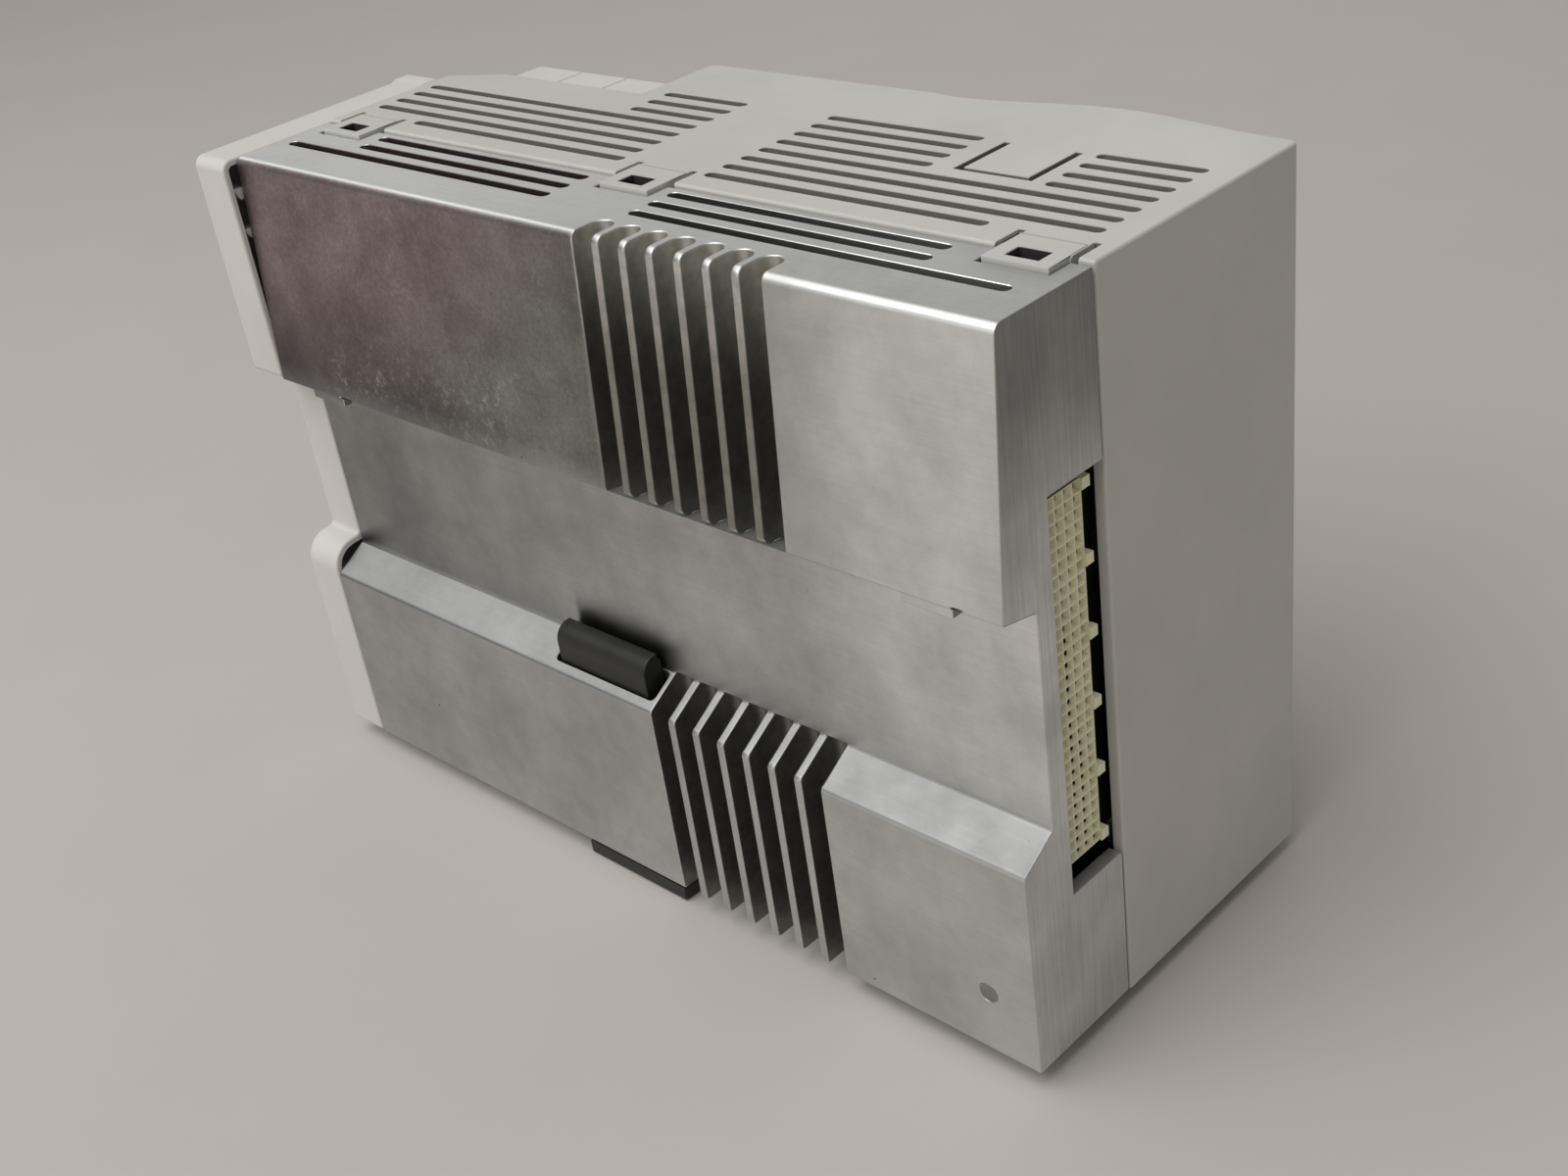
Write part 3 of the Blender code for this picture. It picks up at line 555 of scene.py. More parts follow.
@dataclass(frozen=True)
class CastAluminium:
    """Die-cast aluminium, belt-ground and then tumbled in a drum of media."""

    name: str = "die_cast_aluminium_ground_and_tumbled"
    # Tumbling leaves a soft grey satin: it blurs what it reflects and shows as cloudy patches, and the belt's
    # lines stay clear only on the two narrow ends.
    pale: str = "#E0E1DF"
    cloudy: str = "#CBCCCA"
    smear: str = "#8B8C8A"
    # The upper block's far half has aged to a brown film over a grey one, with the scratches of handling.
    brown_film: str = "#A09192"
    grey_film: str = "#8B8C87"
    scratch: str = "#DEDDD8"
    grime: str = "#3A3936"
    # Grinding belts leave lines 0.1 mm apart. They are drawn 0.35 mm apart so that they show, and 45 times
    # as long as that.
    grind_mm: float = 0.35
    grind_stretch: float = 45.0
    grind_relief: float = 0.00005
    # Cloudy patches a thumb wide lie over broader smears.
    cloud: Noise = Noise(17.0, 7.0, 0.66)
    broad: Noise = Noise(48.0, 4.0, distortion=0.6)
    # Handling scratches are 0.05 mm wide and are drawn 0.4 mm wide, 1.6 mm apart. The grit shows at 0.7 mm.
    hairs: Noise = Noise(1.6, 8.0, 0.8)
    grit: Noise = Noise(0.7, 4.0, 0.7)
    # Casting specks, one place in five of a 5 mm grid.
    speck_mm: float = 5.0
    speck_free: float = 0.80
    speck_sizes: tuple[float, float] = (0.012, 0.055)
    # How much the clouds move the edge of a change, and how fast the film browns upwards.
    drift_by_cloud: float = 0.05
    tilt_by_height: float = 1.1
    # Strength of the latch head's painted shadow and reflection.
    latch_shade_strength: float = 0.72
    fin_glow: float = 1.15
    ramps: tuple[Ramp, ...] = (
        # Marks of the back show only on faces that look back.
        Ramp("backward", Follows.FACING_BACK, 0.4, 0.8),
        # The belt's lines are faint but for the ends.
        Ramp("lining", Follows.SIDELONG, 0.0, 1.0, 0.16, 0.45),
        Ramp("patches", Follows.CLOUD, 0.36, 0.66),
        Ramp("smears", Follows.BROAD, 0.50, 0.75, 0.0, 0.27),
        # Painted shade and reflection: the back is painted darker towards its far end, more on the groove's
        # floor and the upper block, with a step past the near end and another by the slots, and less on the
        # lower block.
        Ramp("far", Follows.DRIFT, -0.065, 0.110, 1.14, 0.40),
        Ramp("far_below", Follows.DRIFT, -0.050, 0.110, 0.92, 0.62),
        Ramp("above", Follows.HEIGHT, 0.0446, 0.0456),
        Ramp("past_end", Follows.ACROSS, -0.062, -0.044, 1.0, 0.86),
        Ramp("by_slots", Follows.ACROSS, -0.066, -0.036, 1.0, 0.76),
        Ramp("on_block", Follows.HEIGHT, 0.0810, 0.0825),
        # Painted shade and highlights: the lower block's slope is painted darker, the upper block's rim gets
        # a painted highlight, and the top is painted lighter far off.
        Ramp("slope", Follows.LEAN, 0.34, 0.42, 1.0, 0.66),
        Ramp("rim", Follows.LEAN, 0.10, 0.40, 1.0, 1.45),
        Ramp("on_top", Follows.ACROSS, -0.080, 0.030, 0.90, 1.26),
        # Painted shade: the ends are painted darker towards their tops.
        Ramp("high", Follows.HEIGHT, 0.078, 0.116, 0.95, 0.42, smooth=True),
        # Painted shadow and reflection of the latch's head, black on the groove's floor over it: its four
        # sides.
        Ramp("latch_shade_near", Follows.ACROSS, -0.0125, -0.0070, smooth=True),
        Ramp("latch_shade_far", Follows.ACROSS, 0.0118, 0.0134, 1.0, 0.0, smooth=True),
        Ramp("latch_shade_top", Follows.HEIGHT, 0.0475, 0.0545, 1.0, 0.0, smooth=True),
        Ramp("latch_shade_foot", Follows.HEIGHT, 0.0440, 0.0450, smooth=True),
        # The aged film covers the upper block's far half. It is brown towards the far top, grey and scratched
        # towards the fins, and lighter at the top and by the fins.
        Ramp("upper", Follows.HEIGHT, 0.0812, 0.0860),
        Ramp("beyond", Follows.ACROSS, -0.0118, -0.0098),
        Ramp("browner", Follows.TILT, 0.125, 0.190, smooth=True),
        Ramp("mottle", Follows.CLOUD, 0.32, 0.70, 1.02, 0.46),
        Ramp("height_glow", Follows.HEIGHT, 0.083, 0.112, 0.52, 1.10, smooth=True),
        Ramp("by_fins", Follows.ACROSS, 0.000, 0.040, 1.0, 0.0),
        Ramp("gritty", Follows.GRIT, 0.3, 0.7, 0.80, 1.20),
        Ramp("worn_patch", Follows.BROAD, 0.44, 0.60),
        Ramp("hair", Follows.HAIRS, 0.52, 0.66, 0.0, 0.62),
        # The clouds are a little matter, and what faces up was tumbled mattest.
        Ramp("uneven", Follows.CLOUD, 0.3, 0.7, 0.30, 0.44),
        Ramp("upward", Follows.FACING_UP, 0.5, 0.9, 0.0, 0.20),
    )

    def readings(
        self, tree: bpy.types.NodeTree, where: bpy.types.NodeSocket
    ) -> dict[Follows, bpy.types.NodeSocket]:
        """Adds the nodes that read a face's place, turn and patterns.

        Args:
            tree: The material's node tree.
            where: The place on the object.

        Returns:
            The value of each thing that a change can follow.
        """
        facing = add(tree, "ShaderNodeNewGeometry").outputs["Normal"]
        turn = add(tree, "ShaderNodeSeparateXYZ", {"Vector": facing}).outputs
        place = add(tree, "ShaderNodeSeparateXYZ", {"Vector": where}).outputs
        values = {
            Follows.SIDELONG: add(tree, "ShaderNodeMath", {0: turn["X"]}, operation="ABSOLUTE").outputs[0],
            Follows.FACING_BACK: turn["Y"],
            Follows.FACING_UP: turn["Z"],
            Follows.ACROSS: place["X"],
            Follows.HEIGHT: place["Z"],
        }
        for follows, noise in (
            (Follows.CLOUD, self.cloud),
            (Follows.BROAD, self.broad),
            (Follows.GRIT, self.grit),
            (Follows.HAIRS, self.hairs),
        ):
            values[follows] = add(tree, "ShaderNodeTexNoise", noise.inputs(where)).outputs["Fac"]
        for follows, operation, *terms in (
            (Follows.LEAN, "MULTIPLY", Follows.FACING_BACK, Follows.FACING_UP),
            (Follows.DRIFT, "MULTIPLY_ADD", Follows.CLOUD, self.drift_by_cloud, Follows.ACROSS),
            (Follows.TILT, "MULTIPLY_ADD", Follows.HEIGHT, self.tilt_by_height, Follows.DRIFT),
        ):
            inputs = {index: values.get(term, term) for index, term in enumerate(terms)}
            values[follows] = add(tree, "ShaderNodeMath", inputs, operation=operation).outputs[0]
        return values

    def build(self) -> bpy.types.Material:
        """Makes the material.

        Returns:
            The material.
        """
        material, tree, shader = start_material(self.name)
        where = add(tree, "ShaderNodeTexCoord").outputs["Object"]
        values = self.readings(tree, where)
        made: dict[str, Any] = {"sidelong": values[Follows.SIDELONG], "one": 1.0, "fin_glow": self.fin_glow}
        for ramp in self.ramps:
            made[ramp.name] = add(
                tree,
                "ShaderNodeMapRange",
                {
                    "Value": values[ramp.follows],
                    "From Min": ramp.start,
                    "From Max": ramp.end,
                    "To Min": ramp.first,
                    "To Max": ramp.last,
                },
                interpolation_type="SMOOTHSTEP" if ramp.smooth else "LINEAR",
            ).outputs[0]

        grind = self.belt_lines(tree, where, values[Follows.SIDELONG])
        lines = add(tree, "ShaderNodeMath", {0: grind, 1: 0.5}, operation="SUBTRACT").outputs[0]
        made["lined"] = add(
            tree, "ShaderNodeMath", {0: lines, 1: made["lining"], 2: 1.0}, operation="MULTIPLY_ADD"
        ).outputs[0]
        self.blend_strengths(tree, made)
        specked = self.colour(tree, where, made)
        tree.links.new(specked, shader.inputs["Base Color"])
        gloss = add(tree, "ShaderNodeMath", {0: made["uneven"], 1: made["upward"]}, operation="ADD")
        tree.links.new(gloss.outputs[0], shader.inputs["Roughness"])
        relief = add(
            tree, "ShaderNodeBump", {"Height": grind, "Strength": 0.07, "Distance": self.grind_relief}
        )
        tree.links.new(relief.outputs[0], shader.inputs["Normal"])
        shader.inputs["Metallic"].default_value = 1.0
        return material

    def belt_lines(
        self, tree: bpy.types.NodeTree, where: bpy.types.NodeSocket, sidelong: bpy.types.NodeSocket
    ) -> bpy.types.NodeSocket:
        """Adds the belt's lines, which run up the ends and along everything else.

        Args:
            tree: The material's node tree.
            where: The place on the object.
            sidelong: How squarely a face looks to the left or the right.

        Returns:
            The height of the lines, about a half.
        """
        fine, long = per_metre(self.grind_mm), per_metre(self.grind_mm * self.grind_stretch)
        streaks = []
        for scale in ((long, fine, fine), (fine, fine, long)):
            along = add(tree, "ShaderNodeMapping", {"Vector": where, "Scale": scale}).outputs[0]
            streaks.append(add(tree, "ShaderNodeTexNoise", {"Vector": along, "Scale": 1.0, "Detail": 3.0}))
        level, upright = (streak.outputs["Fac"] for streak in streaks)
        return add(tree, "ShaderNodeMix", {0: sidelong, 2: level, 3: upright}).outputs[0]

    def blend_strengths(self, tree: bpy.types.NodeTree, made: dict[str, Any]) -> None:
        """Multiplies and mixes the changes into the strength of the bare metal and of the film.

        Args:
            tree: The material's node tree.
            made: The changes by name. The blends are added to it.
        """
        blends = (
            # Painted shade and reflection on the back, below and above the lower block's top.
            ("dimmed", "MIX", ("on_block", "one", "by_slots")),
            ("far_above", "PRODUCT", ("far", "past_end", "dimmed")),
            ("by_block", "MIX", ("above", "far_below", "far_above")),
            # Painted shade and highlights on the slopes and the top.
            ("leaning", "MIX", ("above", "slope", "rim")),
            ("back_or_top", "MIX", ("backward", "on_top", "by_block")),
            ("back_and_slopes", "PRODUCT", ("back_or_top", "leaning")),
            ("painted_light", "MIX", ("sidelong", "back_and_slopes", "high")),
            # The latch head's painted shadow and reflection.
            ("rubbed", "PRODUCT", ("backward", "latch_shade_near", "latch_shade_far", "latch_shade_top", "latch_shade_foot")),
            # The film, its shade and its scratches.
            ("film", "PRODUCT", ("upper", "beyond", "backward")),
            ("glow", "MIX", ("by_fins", "height_glow", "fin_glow")),
            ("shade", "PRODUCT", ("mottle", "glow", "gritty")),
            ("scratched", "PRODUCT", ("worn_patch", "hair")),
        )
        for name, way, parts in blends:
            if way == "MIX":
                inputs = {index: made[part] for index, part in zip((0, 2, 3), parts)}
                made[name] = add(tree, "ShaderNodeMix", inputs).outputs[0]
                continue
            product = made[parts[0]]
            for part in parts[1:]:
                inputs = {0: product, 1: made[part]}
                product = add(tree, "ShaderNodeMath", inputs, operation="MULTIPLY").outputs[0]
            made[name] = product
        # The latch head's painted shadow and reflection darken the bare metal.
        latch_shade_inputs = {0: made["rubbed"], 1: -self.latch_shade_strength, 2: 1.0}
        latch_shade_factor = add(tree, "ShaderNodeMath", latch_shade_inputs, operation="MULTIPLY_ADD").outputs[0]
        lined = add(tree, "ShaderNodeMath", {0: made["lined"], 1: latch_shade_factor}, operation="MULTIPLY").outputs[0]
        # The strength holds the belt's lines and the painted light and shade.
        strength = add(tree, "ShaderNodeMath", {0: lined, 1: made["painted_light"]}, operation="MULTIPLY")
        made["strength"] = strength.outputs[0]

    def colour(
        self, tree: bpy.types.NodeTree, where: bpy.types.NodeSocket, made: dict[str, Any]
    ) -> bpy.types.NodeSocket:
        """Adds the colour: bare metal, then the aged film over it, then specks.

        Args:
            tree: The material's node tree.
            where: The place on the object.
            made: The changes and blends by name.

        Returns:
            The colour.
        """

        layers = (
            ("tumbled", "patches", linear(self.pale), linear(self.cloudy)),
            ("smeared", "smears", "tumbled", linear(self.smear)),
            # The bare metal is scaled by its strength, with its painted shade, reflections and highlights.
            ("bare", "strength", "smeared", None),
            ("aged", "browner", linear(self.grey_film), linear(self.brown_film)),
            ("shaded_film", "shade", "aged", None),
            ("worn_film", "scratched", "shaded_film", linear(self.scratch)),
            ("filmed", "film", "bare", "worn_film"),
            ("specked", "speck", "filmed", linear(self.grime)),
        )
        made["speck"] = self.specks(tree, where)
        for name, amount, under, over in layers:
            below = made.get(under, under)
            if over is None:
                inputs = {0: below, "Scale": made[amount]}
                made[name] = add(tree, "ShaderNodeVectorMath", inputs, operation="SCALE").outputs[0]
                continue
            inputs = {0: made[amount], 6: below, 7: made.get(over, over)}
            made[name] = add(tree, "ShaderNodeMix", inputs, data_type="RGBA").outputs[2]
        return made["specked"]

    def specks(self, tree: bpy.types.NodeTree, where: bpy.types.NodeSocket) -> bpy.types.NodeSocket:
        """Adds the specks of the casting.

        Args:
            tree: The material's node tree.
            where: The place on the object.

        Returns:
            One on a speck and zero off it.
        """
        cells = add(
            tree,
            "ShaderNodeTexVoronoi",
            {"Vector": where, "Scale": per_metre(self.speck_mm), "Randomness": 1.0},
        ).outputs
        chance = add(tree, "ShaderNodeSeparateColor", {"Color": cells["Color"]}).outputs
        taken = {0: chance[0], 1: self.speck_free}
        rare = add(tree, "ShaderNodeMath", taken, operation="GREATER_THAN").outputs[0]
        least, most = self.speck_sizes
        spread = {"Value": chance[1], "To Min": least, "To Max": most}
        size = add(tree, "ShaderNodeMapRange", spread).outputs[0]
        within = {0: cells["Distance"], 1: size}
        near = add(tree, "ShaderNodeMath", within, operation="LESS_THAN").outputs[0]
        return add(tree, "ShaderNodeMath", {0: near, 1: rare}, operation="MULTIPLY").outputs[0]


@dataclass(frozen=True)
class AsCastSkin:
    """Skin of the casting inside its slots, where no belt or media reached."""

    name: str = "die_cast_aluminium_as_cast_skin"
    # Dark, matt grey: the skin still holds its oxide and the dust of years.
    oxide: str = "#9D9C97"
    dust: str = "#898883"
    patches: Noise = Noise(2.5, 5.0, 0.65)
    pitted_relief: float = 0.0001
    roughness: float = 0.46
    # The first two centimetres below the top are lighter.
    top_lighter_from: float = 0.104
    top_lighter_to: float = 0.123
    top_lighter_gain: float = 2.1

    def build(self) -> bpy.types.Material:
        """Makes the material.

        Returns:
            The material.
        """
        material, tree, shader = start_material(self.name)
        where = add(tree, "ShaderNodeTexCoord").outputs["Object"]
        patches = add(tree, "ShaderNodeTexNoise", self.patches.inputs(where))
        mixed = add(
            tree, "ShaderNodeMapRange", {"Value": patches.outputs["Fac"], "From Min": 0.35, "From Max": 0.65}
        )
        colour = add(
            tree,
            "ShaderNodeMix",
            {0: mixed.outputs[0], 6: linear(self.oxide), 7: linear(self.dust)},
            data_type="RGBA",
        )
        height = add(tree, "ShaderNodeSeparateXYZ", {"Vector": where})
        reached = add(
            tree,
            "ShaderNodeMapRange",
            {
                "Value": height.outputs["Z"],
                "From Min": self.top_lighter_from,
                "From Max": self.top_lighter_to,
                "To Min": 1.0,
                "To Max": self.top_lighter_gain,
            },
        )
        lightened = add(
            tree,
            "ShaderNodeVectorMath",
            {0: colour.outputs[2], "Scale": reached.outputs[0]},
            operation="SCALE",
        )
        tree.links.new(lightened.outputs[0], shader.inputs["Base Color"])
        relief = add(
            tree,
            "ShaderNodeBump",
            {"Height": patches.outputs["Fac"], "Strength": 0.2, "Distance": self.pitted_relief},
        )
        tree.links.new(relief.outputs[0], shader.inputs["Normal"])
        shader.inputs["Metallic"].default_value = 1.0
        shader.inputs["Roughness"].default_value = self.roughness
        return material


@dataclass(frozen=True)
class WornMetalEdge:
    """Aluminium edge that handling has polished."""

    name: str = "aluminium_edge_polished_by_handling"
    # Brighter and smoother than the faces, with small dull nicks.
    bright: str = "#E0DED9"
    nick: str = "#8B8883"
    roughness: float = 0.28
    nicks: Noise = Noise(1.3, 5.0, 0.6)

    def build(self) -> bpy.types.Material:
        """Makes the material.

        Returns:
            The material.
        """
        material, tree, shader = start_material(self.name)
        where = add(tree, "ShaderNodeTexCoord").outputs["Object"]
        nicks = add(tree, "ShaderNodeTexNoise", self.nicks.inputs(where))
        worn = add(
            tree, "ShaderNodeMapRange", {"Value": nicks.outputs["Fac"], "From Min": 0.56, "From Max": 0.68}
        )
        colour = add(
            tree,
            "ShaderNodeMix",
            {0: worn.outputs[0], 6: linear(self.bright), 7: linear(self.nick)},
            data_type="RGBA",
        )
        tree.links.new(colour.outputs[2], shader.inputs["Base Color"])
        shader.inputs["Metallic"].default_value = 1.0
        shader.inputs["Roughness"].default_value = self.roughness
        return material


@dataclass(frozen=True)
class MouldedPlastic:
    """Injection-moulded plastic with a spark-eroded mould texture."""

    name: str
    body: str
    dust: str
    roughness: float = 0.5
    # Spark-eroded grain is about 0.1 mm. It is drawn at 0.3 mm so that it shows.
    grain_mm: float = 0.3
    grain_depth: float = 0.00002
    grain_strength: float = 0.35
    # Fingers and dust leave broad, faint smudges, rougher than the clean plastic.
    smudge_mm: float = 22.0
    smudge: float = 0.35
    smoother: float = 0.05
    rougher: float = 0.07
    ior: float = 1.53

    def build(self) -> bpy.types.Material:
        """Makes the material.

        Returns:
            The material.
        """
        material, tree, shader = start_material(self.name)
        where = add(tree, "ShaderNodeTexCoord").outputs["Object"]
        smudges = add(tree, "ShaderNodeTexNoise", Noise(self.smudge_mm, 5.0, 0.6).inputs(where))
        amount = add(
            tree,
            "ShaderNodeMapRange",
            {"Value": smudges.outputs["Fac"], "From Min": 0.35, "From Max": 0.75, "To Max": self.smudge},
        )
        colour = add(
            tree,
            "ShaderNodeMix",
            {0: amount.outputs[0], 6: linear(self.body), 7: linear(self.dust)},
            data_type="RGBA",
        )
        tree.links.new(colour.outputs[2], shader.inputs["Base Color"])
        grain = add(tree, "ShaderNodeTexNoise", Noise(self.grain_mm, 2.0).inputs(where))
        relief = add(
            tree,
            "ShaderNodeBump",
            {"Height": grain.outputs["Fac"], "Strength": self.grain_strength, "Distance": self.grain_depth},
        )
        tree.links.new(relief.outputs[0], shader.inputs["Normal"])
        gloss = add(
            tree,
            "ShaderNodeMapRange",
            {
                "Value": smudges.outputs["Fac"],
                "From Min": 0.3,
                "From Max": 0.7,
                "To Min": self.roughness - self.smoother,
                "To Max": self.roughness + self.rougher,
            },
        )
        tree.links.new(gloss.outputs[0], shader.inputs["Roughness"])
        shader.inputs["IOR"].default_value = self.ior
        return material


@dataclass(frozen=True)
class PlatedMetal:
    """Plated or tinned metal of small parts."""

    name: str
    colour: str
    tarnish: str
    roughness: float = 0.3
    # Tarnish clouds the plating in patches, and takes its shine there.
    patch_mm: float = 3.0
    smoother: float = 0.08
    rougher: float = 0.10

    def build(self) -> bpy.types.Material:
        """Makes the material.

        Returns:
            The material.
        """
        material, tree, shader = start_material(self.name)
        where = add(tree, "ShaderNodeTexCoord").outputs["Object"]
        patches = add(tree, "ShaderNodeTexNoise", Noise(self.patch_mm, 4.0, 0.6).inputs(where))
        colour = add(
            tree,
            "ShaderNodeMix",
            {0: patches.outputs["Fac"], 6: linear(self.colour), 7: linear(self.tarnish)},
            data_type="RGBA",
        )
        tree.links.new(colour.outputs[2], shader.inputs["Base Color"])
        gloss = add(
            tree,
            "ShaderNodeMapRange",
            {
                "Value": patches.outputs["Fac"],
                "To Min": self.roughness - self.smoother,
                "To Max": self.roughness + self.rougher,
            },
        )
        tree.links.new(gloss.outputs[0], shader.inputs["Roughness"])
        shader.inputs["Metallic"].default_value = 1.0
        return material


@dataclass(frozen=True)
class SolderResist:
    """Glass-epoxy board under green solder resist, with faint copper runs beneath the lacquer."""

    name: str = "glass_epoxy_board_with_solder_resist"
    # Deep green gloss; copper shows through as a lighter green grid of runs.
    lacquer: str = "#123F26"
    over_copper: str = "#1E5B38"
    # Runs lie 1.27 mm apart, and the grid shows as bundles of six.
    run_mm: float = 1.27
    bundle: int = 6
    run_width: float = 0.05
    roughness: float = 0.3
    ior: float = 1.55

    def build(self) -> bpy.types.Material:
        """Makes the material.

        Returns:
            The material.
        """
        material, tree, shader = start_material(self.name)
        where = add(tree, "ShaderNodeTexCoord").outputs["Object"]
        runs = add(
            tree,
            "ShaderNodeTexBrick",
            {
                "Vector": where,
                "Scale": per_metre(self.run_mm * self.bundle),
                "Color1": linear(self.lacquer),
                "Color2": linear(self.over_copper),
                "Mortar": linear(self.over_copper),
                "Mortar Size": self.run_width,
            },
        )
        tree.links.new(runs.outputs["Color"], shader.inputs["Base Color"])
        shader.inputs["Roughness"].default_value = self.roughness
        shader.inputs["IOR"].default_value = self.ior
        return material


@dataclass(frozen=True)
class ClearPlastic:
    """Clear or tinted polycarbonate, moulded with a polished mould."""

    name: str
    tint: str
    roughness: float = 0.08
    transmission: float = 0.9
    # A polished mould leaves it clear, with a thin uneven haze of handling.
    haze_mm: float = 9.0
    haze: float = 0.1
    ior: float = 1.58

    def build(self) -> bpy.types.Material:
        """Makes the material.

        Returns:
            The material.
        """
        material, tree, shader = start_material(self.name)
        where = add(tree, "ShaderNodeTexCoord").outputs["Object"]
        film = add(tree, "ShaderNodeTexNoise", Noise(self.haze_mm, 4.0).inputs(where))
        haze = add(
            tree,
            "ShaderNodeMapRange",
            {"Value": film.outputs["Fac"], "To Min": self.roughness, "To Max": self.roughness + self.haze},
        )
        tree.links.new(haze.outputs[0], shader.inputs["Roughness"])
        shader.inputs["Base Color"].default_value = linear(self.tint)
        shader.inputs["Transmission Weight"].default_value = self.transmission
        shader.inputs["IOR"].default_value = self.ior
        return material


class Finishes:
    """Every material of the module, made once."""

    def __init__(self) -> None:
        """Makes the materials."""
        self.aluminium = CastAluminium().build()
        self.metal_edge = WornMetalEdge().build()
        self.metal_skin = AsCastSkin().build()
        # The mould's fine spark texture leaves the cover a warm light grey with a soft, even sheen.
        self.cover = MouldedPlastic(
            "polycarbonate_cover_moulded_light_grey", body="#C6C4BE", dust="#B0AEA8"
        ).build()
        # Handling rubs the texture off the edges, which look paler and a little glossier.
        self.cover_edge = MouldedPlastic(
            "polycarbonate_edge_rubbed_pale", body="#D2D0CA", dust="#BDBBB5", roughness=0.45
        ).build()
        # Painted shade: the walls of the air slots are painted dark, and they are dead matt.
        self.cover_slot_shade = MouldedPlastic(
            "polycarbonate_slot_wall_painted_shade", body="#7A7872", dust="#5C5A55", roughness=0.7, smudge_mm=5.0
        ).build()
        # Painted shadow: the tongues' holes are painted black.
        self.cover_hole_shadow = MouldedPlastic(
            "polycarbonate_hook_hole_painted_shadow", body="#2B2A28", dust="#1E1D1B", roughness=0.75, smudge_mm=3.0
        ).build()
        # Whiter than the cover, with the same moulded sheen.
        self.white = MouldedPlastic("abs_end_plate_moulded_white", body="#D6D3CE", dust="#BFBBB4").build()
        # Polyester of a connector body: yellowish cream, smoother than the cover.
        self.ivory = MouldedPlastic(
            "pbt_connector_moulded_ivory", body="#EFECCB", dust="#D3D0AE", roughness=0.42, smudge_mm=6.0
        ).build()
        # The same, painted darker as painted shade deep in the funnels.
        self.ivory_painted_shade = MouldedPlastic(
            "pbt_funnel_root_painted_shade", body="#A5A284", dust="#868366", roughness=0.7, smudge_mm=3.0
        ).build()
        # Nylon of a sliding part: near black with a slight polish.
        self.black = MouldedPlastic(
            "polyamide_latch_moulded_black", body="#161614", dust="#272622", roughness=0.42, smudge_mm=9.0
        ).build()
        # Dark keys stand out from the light front, and fingers have smoothed them a little.
        self.key = MouldedPlastic(
            "abs_keys_moulded_dark_grey", body="#6B6C6A", dust="#5C5D5B", roughness=0.45
        ).build()
        # Zinc plating is bluish grey and bright, and clouds with age.
        self.steel = PlatedMetal("zinc_plated_steel", colour="#B9BABB", tarnish="#94949A").build()
        # Bare drawn wire is darker, with a satin surface.
        self.spring = PlatedMetal(
            "drawn_spring_steel", colour="#9A9A98", tarnish="#7A7976", roughness=0.35
        ).build()
        # Tin gives the sockets' shields a pale, slightly greasy shine.
        self.tinned = PlatedMetal("tinned_steel_sheet", colour="#C0C0BE", tarnish="#A2A2A0").build()
        # Nickel over brass is warm and bright.
        self.nickel = PlatedMetal("nickel_plated_brass", colour="#C4BFAE", tarnish="#A39D8A").build()
        self.board = SolderResist().build()
        # The main board is painted black as painted shade, so that it doesn't show beside the connector.
        self.black_shade_board = SolderResist(
            "glass_epoxy_board_painted_black_as_shade", lacquer="#0B0F0C", over_copper="#161C17"
        ).build()
        # Shrink sleeve on the capacitors: dark blue and glossy.
        self.sleeve = MouldedPlastic(
            "pvc_shrink_sleeve_dark_blue", body="#26304A", dust="#333C54", roughness=0.3
        ).build()
        # Filled silicone is chalky and dead matt.
        self.pad = MouldedPlastic(
            "silicone_thermal_pad_blue_grey", body="#7D8BA0", dust="#6C7A8F", roughness=0.7
        ).build()
        # A smoke tint lets the dark display show through faintly.
        self.window = ClearPlastic(
            "polycarbonate_display_window_tinted", tint="#4E5652", transmission=0.55
        ).build()
        # Light pipes are water clear and pick up what is round them.
        self.clear = ClearPlastic("polycarbonate_light_pipe_clear", tint="#E6EAEC").build()


